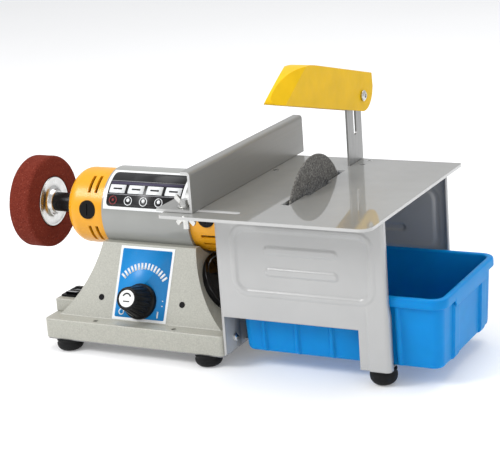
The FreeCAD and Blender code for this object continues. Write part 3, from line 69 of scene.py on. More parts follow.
class Shader:
    """A principled material with short calls for the procedural nodes it needs."""

    def __init__(self, name, color, roughness=0.5, metallic=0.0):
        self.material = bpy.data.materials.new(name)
        self.material.use_nodes = True
        self.tree = self.material.node_tree
        self.surface = self.tree.nodes["Principled BSDF"]
        self.surface.inputs["Base Color"].default_value = (*color, 1)
        self.surface.inputs["Roughness"].default_value = roughness
        self.surface.inputs["Metallic"].default_value = metallic
        self.color = color
        source = self.tree.nodes.new("ShaderNodeTexCoord")
        self.coordinates = source.outputs["Object"]
        self.normal = source.outputs["Normal"]
        self.bumps = None

    def set(self, **sockets):
        """Sets inputs of the surface, their names written with _ for each space."""
        for name, value in sockets.items():
            self.surface.inputs[name.replace("_", " ")].default_value = value
        return self

    def node(self, kind, **inputs):
        """Adds a node; an input is either a value or another node's output."""
        node = self.tree.nodes.new(kind)
        for name, value in inputs.items():
            socket = node.inputs[name.replace("_", " ")]
            if isinstance(value, bpy.types.NodeSocket):
                self.tree.links.new(value, socket)
            else:
                socket.default_value = value
        return node

    def stretched(self, x, y, z):
        """Object coordinates scaled per axis, for grain that runs one way."""
        return self.node("ShaderNodeMapping", Vector=self.coordinates, Scale=(x, y, z)).outputs["Vector"]

    def grain(self, size, detail=3.0, rough=0.55, vector=None):
        """Noise whose features are about the given size in metres."""
        vector = vector or self.coordinates
        return self.node("ShaderNodeTexNoise", Vector=vector, Scale=1 / size, Detail=detail,
                         Roughness=rough).outputs["Fac"]

    def cells(self, size, output="Distance"):
        """Cells about the given size, as in hammered paint or bonded grit."""
        return self.node("ShaderNodeTexVoronoi", Vector=self.coordinates, Scale=1 / size).outputs[output]

    def ramp(self, value, stops):
        """A colour ramp through (place, colour) stops."""
        node = self.node("ShaderNodeValToRGB", Fac=value)
        elements = node.color_ramp.elements
        while len(elements) < len(stops):
            elements.new(0.5)
        for element, (place, color) in zip(elements, stops):
            element.position = place
            element.color = (*color, 1)
        return node.outputs["Color"]

    def spread(self, value, low, high, from_low=0.3, from_high=0.7):
        """Maps the values between two limits onto the range from low to high."""
        return self.node("ShaderNodeMapRange", Value=value, From_Min=from_low, From_Max=from_high,
                         To_Min=low, To_Max=high).outputs["Result"]

    def facing(self, axis):
        """Which way a face looks along an axis of its object: 0 down it, 0.5 across it, 1 up it."""
        share = self.node("ShaderNodeSeparateXYZ", Vector=self.normal).outputs[axis]
        return self.spread(share, 0, 1, -1, 1)

    def paint(self, color_output):
        """Takes the base colour from a node."""
        self.tree.links.new(color_output, self.surface.inputs["Base Color"])
        return self

    def vary(self, value, amount=0.1):
        """Lightens and darkens the colour by a share, following a value."""
        low = tuple(channel * (1 - amount) for channel in self.color)
        high = tuple(min(channel * (1 + amount), 1) for channel in self.color)
        return self.paint(self.ramp(value, [(0.3, low), (0.7, high)]))

    def gloss(self, value, low, high):
        """Lets the roughness follow a value, from low to high."""
        self.tree.links.new(self.spread(value, low, high), self.surface.inputs["Roughness"])
        return self

    def relief(self, value, depth, strength=1.0):
        """Adds bumps of about the given depth in metres."""
        bump = self.node("ShaderNodeBump", Height=value, Distance=depth, Strength=strength)
        if self.bumps is not None:
            self.tree.links.new(self.bumps, bump.inputs["Normal"])
        self.bumps = bump.outputs["Normal"]
        self.tree.links.new(self.bumps, self.surface.inputs["Normal"])
        return self


def hammered_paint():
    """Beige-grey hammered enamel on the casting."""
    shader = Shader("hammered_enamel", (0.375, 0.372, 0.325), 0.42)
    blobs = shader.cells(1.7 * MM)
    shader.vary(shader.grain(1.3 * MM, 3), 0.13)
    shader.relief(blobs, 0.00010, 0.4).relief(shader.grain(1.1 * MM), 0.00006, 0.4)
    return shader.set(Coat_Weight=0.25, Coat_Roughness=0.2).material


def satin_enamel():
    """Light grey enamel on the pressed panels."""
    shader = Shader("panel_enamel", (0.415, 0.415, 0.41), 0.34)
    shader.vary(shader.grain(40 * MM, 2), 0.03)
    shader.gloss(shader.grain(9 * MM), 0.3, 0.38)
    shader.relief(shader.grain(6 * MM, 2), 0.00004, 0.2)
    return shader.set(Coat_Weight=0.5, Coat_Roughness=0.15).material


def table_enamel():
    """Grey table finish, smooth enough to mirror what stands on it, its side faces painted lighter as a
    highlight on the edges.
    """
    face = (0.235, 0.235, 0.222)
    # Painted highlight: the lighter edge colour goes on the side faces, the darker face colour on the top and
    # underside.
    edge = (0.46, 0.46, 0.45)
    shader = Shader("table_finish_and_edge_highlight", face, 0.34)
    highlight_tones = [(0.06, face), (0.25, edge), (0.75, edge), (0.94, face)]
    shader.paint(shader.ramp(shader.facing("Z"), highlight_tones))
    shader.gloss(shader.grain(30 * MM, 2), 0.3, 0.38)
    shader.set(Coat_Weight=1.0, Coat_Roughness=0.02, Coat_IOR=1.7, Specular_IOR_Level=0.3)
    return shader.material


def fence_finish_and_end_highlight():
    """Grey drawn sheet of the fence, its grain along its length and its ends painted lighter as a highlight.
    """
    face = (0.215, 0.215, 0.205)
    # Painted highlight: the lighter edge colour goes on the faces that look along the fence, its ends.
    edge = (0.50, 0.50, 0.49)
    shader = Shader("fence_finish_and_end_highlight", face, 0.4, 0.15)
    streaks = shader.grain(1.0, 3, vector=shader.stretched(500, 18, 500))
    highlight_tones = [(0.06, edge), (0.25, face), (0.75, face), (0.94, edge)]
    shader.paint(shader.ramp(shader.facing("Y"), highlight_tones))
    shader.gloss(streaks, 0.36, 0.44)
    return shader.set(Coat_Weight=0.35, Coat_Roughness=0.2).material


def motor_enamel():
    """Glossy grey on the motor's barrel."""
    shader = Shader("motor_enamel", (0.28, 0.285, 0.27), 0.32)
    shader.vary(shader.grain(30 * MM, 2), 0.03)
    shader.relief(shader.grain(5 * MM, 2), 0.00003, 0.15)
    return shader.set(Coat_Weight=0.6, Coat_Roughness=0.12).material


def moulded_plastic(name, color, roughness, texture=0.00004, coat=0.0, subsurface=0.0, shine=0.4):
    """Moulded plastic: faint flow marks, fine spark-eroded texture."""
    shader = Shader(name, color, roughness)
    shader.vary(shader.grain(25 * MM, 2), 0.05)
    shader.gloss(shader.grain(7 * MM, 2), roughness * 0.92, roughness * 1.1)
    shader.relief(shader.grain(2.5 * MM, 2), texture, 0.25)
    shader.set(Coat_Weight=coat, Coat_Roughness=0.08, Specular_IOR_Level=shine)
    if subsurface:
        shader.set(Subsurface_Weight=subsurface, Subsurface_Radius=(0.004, 0.002, 0.001))
    return shader.material


def turned_metal(name, color, roughness, metallic=1.0, scratches=0.3):
    """Machined or plated metal with fine scratches and cloudy patches."""
    shader = Shader(name, color, roughness, metallic)
    shader.vary(shader.grain(6 * MM, 3), 0.1)
    shader.gloss(shader.grain(0.8 * MM, 5), roughness * 0.75, roughness * 1.35)
    shader.relief(shader.grain(0.5 * MM, 4), 0.00002, scratches)
    return shader.material


def bonded_grit():
    """Brick-red abrasive: dark and a few pale grains in a dusty bond."""
    shader = Shader("bonded_grit", (0.16, 0.026, 0.016), 0.95)
    grain_size = 0.9 * MM
    grains = shader.cells(grain_size, "Color")
    tone = shader.node("ShaderNodeSeparateColor", Color=grains).outputs["Red"]
    shader.paint(shader.ramp(tone, [(0.0, (0.11, 0.016, 0.010)), (0.4, (0.15, 0.024, 0.014)),
                                    (0.95, (0.175, 0.031, 0.018)), (1.0, (0.25, 0.065, 0.045))]))
    shader.relief(shader.cells(grain_size), 0.0002, 0.3)
    return shader.set(Specular_IOR_Level=0.1).material


def grit_steel():
    """Blade steel coated with fine grey grit."""
    shader = Shader("grit_steel", (0.15, 0.145, 0.135), 0.6, 0.3)
    tone = shader.grain(1.7 * MM, 4, 0.7)
    shader.paint(shader.ramp(tone, [(0.36, (0.06, 0.058, 0.054)), (0.5, (0.14, 0.135, 0.125)),
                                    (0.64, (0.30, 0.29, 0.27))]))
    shader.relief(tone, 0.00025, 0.5)
    return shader.material


def tray_moulding():
    """Blue moulding whose thin walls let some light through."""
    shader = Shader("tray_plastic", (0.001, 0.235, 0.60), 0.4)
    shader.vary(shader.grain(25 * MM, 2), 0.04)
    shader.relief(shader.grain(2.5 * MM, 2), 0.00003, 0.25)
    shader.set(Specular_IOR_Level=0.14, Subsurface_Weight=0.55, Subsurface_Radius=(0.001, 0.012, 0.022))
    return shader.material


def drawn_steel():
    """Grey strip steel of the bracket, its rolling marks upright."""
    shader = Shader("drawn_steel", (0.34, 0.34, 0.335), 0.38, 0.85)
    streaks = shader.grain(1.0, 4, vector=shader.stretched(700, 700, 25))
    return shader.vary(streaks, 0.22).gloss(streaks, 0.3, 0.46).material


def moulded_rubber():
    """Black rubber with a dull, grainy skin."""
    shader = Shader("moulded_rubber", (0.006, 0.006, 0.0065), 0.6)
    shader.vary(shader.grain(4 * MM), 0.25)
    shader.relief(shader.grain(0.6 * MM, 4), 0.00008, 0.6)
    return shader.set(Specular_IOR_Level=0.2).material


def printed(name, color, roughness=0.35):
    """Printing ink on a foil."""
    shader = Shader(name, color, roughness)
    shader.vary(shader.grain(0.7 * MM, 3), 0.05)
    shader.relief(shader.grain(5 * MM, 2), 0.00002, 0.15)
    return shader.set(Coat_Weight=0.1, Coat_Roughness=0.2, Specular_IOR_Level=0.35).material


def wound_copper():
    """Enamelled wire, its turns showing as fine rings round the spindle."""
    shader = Shader("wound_copper", (0.45, 0.16, 0.07), 0.35, 0.8)
    rings = shader.node("ShaderNodeTexWave", Vector=shader.coordinates, Scale=220.0, Distortion=1.5)
    shader.vary(rings.outputs["Fac"], 0.3)
    shader.relief(rings.outputs["Fac"], 0.0002, 0.7)
    return shader.material


# The material of each CAD slot. The foils are white: their colours are printed on them as pieces.
MATERIALS = {
    "cast_paint": hammered_paint(),
    "bottom_sheet": turned_metal("bottom_steel", (0.30, 0.30, 0.30), 0.45),
    "rubber_feet": moulded_rubber(),
    "dark_plastic": moulded_plastic("dark_plastic", (0.005, 0.005, 0.0055), 0.3, shine=0.16),
    "dark_gloss": moulded_plastic("dark_gloss", (0.003, 0.003, 0.0035), 0.12, 0.00001, 0.25, shine=0.2),
    "blue_foil": printed("white_foil", (0.75, 0.76, 0.76)),
    "black_foil": printed("label_white_foil", (0.75, 0.76, 0.76)),
    "white_disc": printed("disc_white", (0.78, 0.78, 0.76)),
    "dark_steel": turned_metal("blackened_steel", (0.018, 0.018, 0.019), 0.3, 0.7),
    "bright_steel": turned_metal("zinc_plate", (0.60, 0.60, 0.58), 0.24),
    "shaft_steel": turned_metal("ground_steel", (0.50, 0.50, 0.50), 0.2),
    "laminations": turned_metal("laminations", (0.22, 0.22, 0.23), 0.5),
    "copper": wound_copper(),
    "brass": turned_metal("brass", (0.60, 0.42, 0.16), 0.28),
    "carbon": moulded_plastic("carbon", (0.02, 0.02, 0.02), 0.7, 0.0001),
    "board": moulded_plastic("board_resin", (0.03, 0.12, 0.04), 0.4),
    "motor_paint": motor_enamel(),
    "amber_plastic": moulded_plastic("amber_plastic", (0.76, 0.34, 0.006), 0.34, 0.00004, 0.12, 0.05),
    "fan_plastic": moulded_plastic("fan_plastic", (0.55, 0.55, 0.52), 0.45),
    "abrasive": bonded_grit(),
    "blade_steel": grit_steel(),
    "panel_paint": satin_enamel(),
    "table_steel": table_enamel(),
    "guard_plastic": moulded_plastic("guard_plastic", (0.76, 0.46, 0.004), 0.46, 0.00003, 0.0, 0.05, 0.14),
    "tray_plastic": tray_moulding(),
}


# Nodes whose finish differs from the one of their slot.
OWN_FINISHES = {
    "fence": fence_finish_and_end_highlight(),
    "guard_bracket": drawn_steel(),
    "panel_screws": MATERIALS["dark_gloss"],
}

# What the detailed pieces wear besides their slots' materials.
CHROME = turned_metal("chrome_plate", (0.60, 0.60, 0.59), 0.2, scratches=0.12)
INKS = {
    "blue": printed("ink_blue", (0.002, 0.225, 0.58), 0.38),
    "white": printed("ink_white", (0.74, 0.76, 0.77), 0.4),
    "black": printed("ink_black", (0.006, 0.006, 0.007), 0.34),
    "grey": printed("ink_grey", (0.30, 0.30, 0.32), 0.4),
    "plum": printed("ink_plum", (0.045, 0.038, 0.075), 0.35),
    "red": printed("ink_red", (0.20, 0.018, 0.020), 0.35),
}


def dress_cad_nodes():
    """Gives every CAD node its procedural material."""
    slots = {item["node"]: item["material_slot"] for item in frame["record"]["subparts"]}
    for name, node in frame["nodes"].items():
        node.data.materials.clear()
        node.data.materials.append(OWN_FINISHES.get(name, MATERIALS[slots[name]]))


def soften(piece, width):
    """Rounds the sharp edges a little, as a mould, a press or a file leaves them."""
    flat_angle = math.radians(0.5)
    sharp_angle = math.radians(32)
    joiner = piece.modifiers.new("join_seams", "WELD")
    joiner.merge_threshold = 0.01 * MM
    planes = piece.modifiers.new("merge_flat_faces", "DECIMATE")
    planes.decimate_type = "DISSOLVE"
    planes.angle_limit = flat_angle
    bevel = piece.modifiers.new("soft_edges", "BEVEL")
    bevel.width = width
    bevel.segments = 3
    bevel.limit_method = "ANGLE"
    bevel.angle_limit = sharp_angle
    normals = piece.modifiers.new("flat_face_normals", "WEIGHTED_NORMAL")
    normals.keep_sharp = True


# How wide the edges of these CAD nodes are rounded.
SOFT_EDGES = {
    "base_casting": 1.1 * MM, "switch_housing": 0.9 * MM, "table_top": 0.7 * MM, "fence": 0.5 * MM,
    "guard_bracket": 0.4 * MM, "wing_bolt": 0.5 * MM, "wing_nut": 0.5 * MM, "blade_guard": 1.2 * MM,
    "left_end_cap": 0.35 * MM, "right_end_cap": 0.35 * MM, "brush_caps": 0.3 * MM,
    "blank_plugs": 0.3 * MM, "switch_bezel": 0.5 * MM, "switch_rocker": 0.6 * MM, "splash_plate": 0.3 * MM,
    "wheel_nut": 0.4 * MM, "blade_nut": 0.4 * MM, "guard_nut": 0.3 * MM, "guard_bolt": 0.3 * MM,
    "access_cover": 0.5 * MM, "cord_gland": 0.4 * MM, "fence_washers": 0.2 * MM,
}


# ---------------------------------------------------------------- mesh helpers

def new_piece(name, mesh_in_work, slot, body, *nodes, material=None):
    """Turns a bmesh into a piece that rides on a body and stands for its CAD nodes."""
    bmesh.ops.recalc_face_normals(mesh_in_work, faces=mesh_in_work.faces)
    mesh = bpy.data.meshes.new(name)
    mesh_in_work.to_mesh(mesh)
    mesh_in_work.free()
    mesh.shade_smooth()
    mesh.materials.append(material or MATERIALS[slot])
    piece = bpy.data.objects.new(name, mesh)
    bpy.context.collection.objects.link(piece)
    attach(piece, body)
    if nodes:
        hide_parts(*nodes)
    return piece


def smooth_step(value, start, end):
    """0 before the start, 1 after the end, and an even S curve between."""
    share = min(max((value - start) / (end - start), 0.0), 1.0)
    return share * share * (3 - 2 * share)


def between(value, low, high, blend):
    """1 inside a band, 0 outside it, with soft shoulders."""
    return smooth_step(value, low - blend, low) * (1 - smooth_step(value, high, high + blend))


def gathered(parts):
    """One bmesh made of several, which it uses up."""
    whole = bmesh.new()
    for part in parts:
        carrier = bpy.data.meshes.new("carrier")
        part.to_mesh(carrier)
        part.free()
        whole.from_mesh(carrier)
        bpy.data.meshes.remove(carrier)
    return whole


def join_rings(mesh, rings, closed=False):
    """Skins a list of equal rings of vertices with quads, the last to the first if closed."""
    pairs = list(zip(rings, rings[1:]))
    if closed:
        pairs.append((rings[-1], rings[0]))
    for low, high in pairs:
        for index in range(len(low)):
            following = (index + 1) % len(low)
            mesh.faces.new((low[index], low[following], high[following], high[index]))


def lathe(profile, frame_of_axis, segments, reach_at=None, closed=False):
    """Turns (radius, height) points round the Z axis of a frame; reach_at may change a radius."""
    mesh = bmesh.new()
    rings = []
    for radius, height in profile:
        ring = []
        for step in range(segments):
            angle = math.tau * step / segments
            reach = reach_at(radius, height, angle) if reach_at else radius
            point = Vector((reach * math.cos(angle), reach * math.sin(angle), height))
            ring.append(mesh.verts.new(frame_of_axis @ point))
        rings.append(ring)
    join_rings(mesh, rings, closed)
    return mesh


def in_metres(profile):
    """A profile drawn in mm, as (radius, height) points in metres."""
    return [(radius * MM, height * MM) for radius, height in profile]


def resampled(points, step):
    """The same path with its long stretches cut to about a step."""
    result = []
    for start, end in zip(points, points[1:]):
        count = max(int((Vector(end) - Vector(start)).length / step), 1)
        result += [tuple(Vector(start).lerp(Vector(end), number / count)) for number in range(count)]
    return result + [tuple(points[-1])]


def quarter(centre_x, centre_y, radius, start_degrees, count=6, sweep=90):
    """Points along an arc: a quarter of a circle, unless a sweep in degrees is given."""
    return [(centre_x + radius * math.cos(math.radians(start_degrees + sweep * number / count)),
             centre_y + radius * math.sin(math.radians(start_degrees + sweep * number / count)))
            for number in range(count + 1)]


def roughen(mesh, size, depth):
    """Pushes the vertices in and out along their normals with noise of a size."""
    mesh.normal_update()
    for vertex in mesh.verts:
        vertex.co += vertex.normal * depth * noise.noise(vertex.co / size)


def spindle_frame(x):
    """A frame whose Z axis runs along the spindle, its zero at x."""
    centre = (x, SPINDLE_Y * MM, SPINDLE_Z * MM)
    return Matrix.Translation(centre) @ Matrix.Rotation(math.pi / 2, 4, "Y")


# ---------------------------------------------------------------- wheel and blade

def grinding_wheel():
    """Bonded wheel, its faces and worn edge displaced into a grainy surface."""
    low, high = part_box("grinding_wheel")
    width = high.x - low.x
    radius = (high.z - low.z) / 2
    edge = 3.5 * MM
    sunk = 27 * MM
    recess = WHEEL_RECESS * MM
    bore = SPINDLE_RADIUS * MM
    left_face = [(bore, recess), (sunk - 0.5 * MM, recess), (sunk, 0.3 * MM), (sunk + 0.8 * MM, 0)]
    path = left_face + quarter(radius - edge, edge, edge, -90) + quarter(radius - edge, width - edge, edge, 0)
    path += [(reach, width - depth) for reach, depth in reversed(left_face)]
    mesh = lathe(resampled(path, 0.9 * MM), spindle_frame(low.x), 340, closed=True)
    roughen(mesh, 1.1 * MM, 0.16 * MM)
    roughen(mesh, 7 * MM, 0.14 * MM)
    new_piece("grit_wheel", mesh, "abrasive", "rotor", "grinding_wheel")


def wheel_flanges():
    """Dished plates with a rolled rim and a bright cone that grips the shaft."""
    wheel_low, wheel_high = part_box("grinding_wheel")
    recess = WHEEL_RECESS * MM
    rim = [(26, 0)] + quarter(25.1, 1.4, 0.9, 0)
    dish = [(23.5, 1.9), (21, 1.4), (17, 1.5), (14.6, 2.3)]
    cone = [(13.2, 3.9), (12.6, 6.0), (12, 6.8), (10.5, 7)]
    profile = in_metres([(SPINDLE_RADIUS, 0)] + rim + dish + cone + [(SPINDLE_RADIUS, 7)])
    right = spindle_frame(wheel_high.x - recess)
    left = spindle_frame(wheel_low.x + recess) @ Matrix.Rotation(math.pi, 4, "X")
    mesh = gathered([lathe(profile, place, 96, closed=True) for place in (right, left)])
    new_piece("dished_flanges", mesh, "bright_steel", "rotor", "wheel_flanges", material=CHROME)


def saw_blade():
    """Steel disc with a raised, grit-coated rim."""
    low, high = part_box("saw_blade")
    width = high.x - low.x
    radius = (high.z - low.z) / 2
    coat = 0.35 * MM
    left_face = [(SPINDLE_RADIUS * MM, coat), (22 * MM, coat), (40 * MM, coat), (41 * MM, 0.05 * MM),
                 (radius - 0.7 * MM, 0), (radius, 0.6 * MM)]
    path = left_face + [(reach, width - depth) for reach, depth in reversed(left_face)]
    mesh = lathe(resampled(path, 1.0 * MM), spindle_frame(low.x), 360, closed=True)
    roughen(mesh, 1.0 * MM, 0.07 * MM)
    new_piece("grit_blade", mesh, "blade_steel", "rotor", "saw_blade")


# ---------------------------------------------------------------- pressed side panels

# In mm. The sheet's outline: PANEL_LOW is the top of the window between the left flange and the leg.
PANEL_LEFT, PANEL_RIGHT, PANEL_LOW, PANEL_HIGH = 31.0, 200.0, 54.5, 159.0
LEG_LEFT, LEG_LOW = 172.0, 16.0
LEFT_FOLD, RIGHT_FOLD = 1.6, 3.0
SHEET = 1.5

# The pressings: a sunk field, a bead round it, two bars in it, and a raised crease down the leg.
FIELD_LEFT, FIELD_RIGHT, FIELD_LOW, FIELD_HIGH = 51.0, 184.0, 84.0, 142.0
FIELD_CORNER, FIELD_DEPTH = 10.0, 0.9
BEAD_START, BEAD_END, BEAD_HEIGHT = 1.6, 5.0, 0.8
BAR_LEFT, BAR_RIGHT, BAR_ROWS, BAR_HEIGHT = 84.0, 150.0, (124.0, 103.0), 1.5
CREASE_LEFT, CREASE_RIGHT, CREASE_HEIGHT = 181.5, 200.0, 1.8


def outside_field(x, z):
    """Distance in mm outside the pressed field's rounded outline; negative inside it."""
    middle_x = (FIELD_LEFT + FIELD_RIGHT) / 2
    middle_z = (FIELD_LOW + FIELD_HIGH) / 2
    across = abs(x - middle_x) - (FIELD_RIGHT - FIELD_LEFT) / 2 + FIELD_CORNER
    up = abs(z - middle_z) - (FIELD_HIGH - FIELD_LOW) / 2 + FIELD_CORNER
    corner = math.hypot(max(across, 0), max(up, 0))
    return corner + min(max(across, up), 0) - FIELD_CORNER


def pressed_height(x, z):
    """How far the panel stands out at a place, in mm."""
    away = outside_field(x, z)
    height = -FIELD_DEPTH * (1 - smooth_step(away, -1.2, 0.4))
    height += BEAD_HEIGHT * between(away, BEAD_START, BEAD_END, 1.3)
    past_end = max(BAR_LEFT - x, x - BAR_RIGHT, 0)
    for row in BAR_ROWS:
        height += BAR_HEIGHT * (1 - smooth_step(math.hypot(past_end, z - row), 2.6, 4.6))
    crease = between(x, CREASE_LEFT, CREASE_RIGHT, 1.6) * (1 - smooth_step(z, 66.0, 84.0))
    return height + CREASE_HEIGHT * crease


def fold(centre_x, radius, start_degrees, count, outer, inward):
    """Round corner of the folded sheet, as (x, y, outward direction)."""
    points = []
    for x, y in quarter(centre_x, radius, radius, start_degrees, count):
        out = Vector((x - centre_x, y - radius)).normalized()
        points.append((x, outer + inward * y, (out.x, inward * out.y)))
    return points


def fold_path(outer, inward):
    """Plan of the folded sheet: (x, y, outward direction) from the flange to the right return."""
    flange_depths = (32.0, 20.0, 10.0, 2.4)
    face_start, face_columns = 33.5, 164
    return_depth = 7.0
    points = [(PANEL_LEFT, outer + inward * depth, (-1, 0)) for depth in flange_depths]
    points += fold(PANEL_LEFT + LEFT_FOLD, LEFT_FOLD, 180, 4, outer, inward)
    points += [(face_start + number, outer, (0, -inward)) for number in range(face_columns)]
    points += fold(PANEL_RIGHT - RIGHT_FOLD, RIGHT_FOLD, 270, 6, outer, inward)
    points.append((PANEL_RIGHT, outer + inward * return_depth, (1, 0)))
    return points


def pressed_panel(name, node, outer, inward):
    """A folded sheet with its pressings: the panel, a narrow flange at its left and a leg at its right."""
    mesh = bmesh.new()
    path = fold_path(outer, inward)
    leg_row, leg_rows = 1.05, 37
    flange_right = 32.8
    heights = [LEG_LOW + leg_row * number for number in range(leg_rows)]
    heights += [PANEL_LOW + number for number in range(int(PANEL_HIGH - PANEL_LOW))] + [PANEL_HIGH]
    made = {}

    def corner(column, row):
        if (column, row) not in made:
            x, y, out = path[column]
            z = heights[row]
            proud = pressed_height(x, z)
            made[column, row] = mesh.verts.new(Vector((x + out[0] * proud, y + out[1] * proud, z)) * MM)
        return made[column, row]

    for column in range(len(path) - 1):
        for row in range(len(heights) - 1):
            x = (path[column][0] + path[column + 1][0]) / 2
            z = (heights[row] + heights[row + 1]) / 2
            in_window = flange_right < x < LEG_LEFT and z < PANEL_LOW
            if not in_window:
                mesh.faces.new((corner(column, row), corner(column + 1, row),
                                corner(column + 1, row + 1), corner(column, row + 1)))
    piece = new_piece(name, mesh, "panel_paint", "machine", node)
    sheet = piece.modifiers.new("sheet", "SOLIDIFY")
    sheet.thickness = SHEET * MM
    sheet.offset = -1
    sheet.use_even_offset = True


def panel_tabs(name, outer, inward):
    """The foot tab and the top flange folded inward from a side panel."""
    # Each plate: left, right, depth, underside.
    foot_tab = (172.2, 199.0, 35.0, LEG_LOW)
    top_flange = (51.0, 190.0, 15.0, PANEL_HIGH - SHEET)
    near = outer + inward * 1.2
    mesh = bmesh.new()
    for left, right, depth, low in (foot_tab, top_flange):
        far = outer + inward * depth
        bottom = plate_ring(mesh, left, right, near, far, low)
        top = plate_ring(mesh, left, right, near, far, low + SHEET)
        join_rings(mesh, [bottom, top])
        mesh.faces.new(bottom)
        mesh.faces.new(top)
    soften(new_piece(name, mesh, "panel_paint", "machine"), 0.4 * MM)


def plate_ring(mesh, left, right, near, far, height):
    """Corners of a plate with its two far corners cut round."""
    corner = 5.0
    inward = 1 if far > near else -1
    rounded = quarter(right - corner, 0, corner, 0) + quarter(left + corner, 0, corner, 90)
    plan = [(left, near), (right, near)]
    plan += [(x, far - inward * corner + inward * y) for x, y in rounded]
    return [mesh.verts.new(Vector((x, y, height)) * MM) for x, y in plan]


# ---------------------------------------------------------------- water tray

# In mm: the ribs' places along the tray, and the bands that stand out at its pulling end.
TRAY_RIBS = (67.7, 102.0, 138.0, 172.0, 205.0)
TRAY_END_BANDS = ((-50.0, -37.0), (24.0, 35.5))
TRAY_RIB_HEIGHT, TRAY_RIB_HALF_WIDTH, TRAY_RIB_BLEND = 2.4, 1.5, 0.8


def tray_outline(low, high, inset, corner):
    """Points round the tray: dense on the sides so that the ribs stay crisp."""
    left, right = low.x / MM + inset, high.x / MM - inset
    front, back = low.y / MM + inset, high.y / MM - inset
    arcs = [quarter(right - corner, front + corner, corner, 270, 9),
            quarter(right - corner, back - corner, corner, 0, 9),
            quarter(left + corner, back - corner, corner, 90, 9),
            quarter(left + corner, front + corner, corner, 180, 9)]
    end_count, side_count = 150, 240
    points = []
    for number, arc in enumerate(arcs):
        count = side_count if number % 2 else end_count
        start, end = Vector(arc[-1]), Vector(arcs[(number + 1) % 4][0])
        points += arc
        points += [tuple(start.lerp(end, step / count)) for step in range(1, count)]
    return points


def tray_rib(x, y, low, high):
    """How far the outer wall stands out at a place, in mm: nothing at the corners and the left end."""
    corner_reach = 16
    end_reach = 12
    if low.x / MM + corner_reach < x < high.x / MM - corner_reach:
        bands = [(rib - TRAY_RIB_HALF_WIDTH, rib + TRAY_RIB_HALF_WIDTH) for rib in TRAY_RIBS]
        return TRAY_RIB_HEIGHT * max(between(x, start, end, TRAY_RIB_BLEND) for start, end in bands)
    if x > high.x / MM - end_reach:
        return TRAY_RIB_HEIGHT * max(between(y, start, end, TRAY_RIB_BLEND) for start, end in TRAY_END_BANDS)
    return 0.0


def water_tray():
    """Moulded tray: ribbed drafted walls and a turned-down rim that is deeper at the pulling end."""
    low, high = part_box("water_tray")
    top = high.z / MM
    base = low.z / MM
    # Each level: inset from the rim's outline, height, corner radius, share of the ribs, share of the skirt.
    inside = [(12.6, base + 2.5, 4, 0, 0), (10.8, base + 3.1, 5, 0, 0), (9.8, base + 5.2, 6, 0, 0),
              (8.2, base + 30, 8, 0, 0), (6.6, top - 2.2, 9.5, 0, 0)]
    rim = [(6.2, top - 0.8, 10, 0, 0), (5.2, top - 0.1, 11, 0, 0), (3.2, top, 12.5, 0, 0),
           (1.3, top - 0.2, 13.5, 0, 0), (0.4, top - 0.9, 14, 0, 0), (0.1, top - 2.2, 14, 0, 0)]
    skirt = [(0.0, top - 5, 14, 0, 0), (0.0, top - 8.4, 14, 0, 1), (0.3, top - 9, 13.8, 0, 1),
             (1.5, top - 9, 13, 0, 1), (1.8, top - 8.4, 12.6, 0, 1), (1.9, top - 3, 12.4, 0, 0)]
    wall = [(4.1, top - 2.8, 10, 0, 0), (4.2, top - 6, 10, 0, 0), (4.3, top - 9.5, 10, 1, 0)]
    wall += [(4.3 + 2.6 * share, top - 9.5 - (top - base - 13.5) * share, 10 - share, 1, 0)
             for share in (0.25, 0.5, 0.75, 1.0)]
    foot = [(7.5, base + 1.5, 9, 0.7, 0), (8.6, base + 0.3, 8, 0.2, 0), (10.5, base, 6, 0, 0)]
    middle = (low + high) / 2 / MM
    half_length = (high.x - low.x) / 2 / MM
    skirt_drop = 6.0
    mesh = bmesh.new()
    rings = []
    for inset, height, corner, rib_share, skirt_share in inside + rim + skirt + wall + foot:
        ring = []
        for x, y in tray_outline(low, high, inset, corner):
            out = tray_rib(x, y, low, high) * rib_share
            at_end = smooth_step(x, high.x / MM - 3, high.x / MM - 2)
            drop = skirt_drop * skirt_share * at_end * between(y, -50, 34, 5)
            if abs(x - middle.x) > half_length - 12:
                x += math.copysign(out, x - middle.x)
            else:
                y += math.copysign(out, y - middle.y)
            ring.append(mesh.verts.new(Vector((x, y, height - drop)) * MM))
        rings.append(ring)
    join_rings(mesh, rings)
    mesh.faces.new(rings[0])
    mesh.faces.new(rings[-1])
    new_piece("ribbed_tray", mesh, "tray_plastic", "tray", "water_tray")


# ---------------------------------------------------------------- printed labels

INK_FILM = 0.06


def print_piece(name, shapes, surface, color_name, slot, body, lift, step=None):
    """Thin ink patches: flat outlines in mm laid on a surface, cut into strips where it curves."""
    mesh = bmesh.new()
    for outline in shapes:
        mesh.faces.new([mesh.verts.new((x, y, 0)) for x, y in outline])
    if step:
        low = min(vertex.co.y for vertex in mesh.verts)
        high = max(vertex.co.y for vertex in mesh.verts)
        for number in range(1, int((high - low) / step) + 1):
            everything = mesh.verts[:] + mesh.edges[:] + mesh.faces[:]
            bmesh.ops.bisect_plane(mesh, geom=everything, plane_co=(0, low + number * step, 0),
                                   plane_no=(0, 1, 0))
    for vertex in mesh.verts:
        vertex.co = surface(vertex.co.x, vertex.co.y, lift)
    piece = new_piece(name, mesh, slot, body, material=INKS[color_name])
    film = piece.modifiers.new("film", "SOLIDIFY")
    film.thickness = INK_FILM * MM
    film.offset = 0


def block(left, low, right, high):
    """A rectangle, as an outline."""
    return [(left, low), (right, low), (right, high), (left, high)]


def round_block(left, low, right, high, radius):
    """A rectangle with round corners, as an outline."""
    return (quarter(right - radius, low + radius, radius, 270)
            + quarter(right - radius, high - radius, radius, 0)
            + quarter(left + radius, high - radius, radius, 90)
            + quarter(left + radius, low + radius, radius, 180))


def disc(x, y, radius, count):
    """A circle, as an outline of count + 1 points."""
    return quarter(x, y, radius, 0, count, 360 - 360 / count)


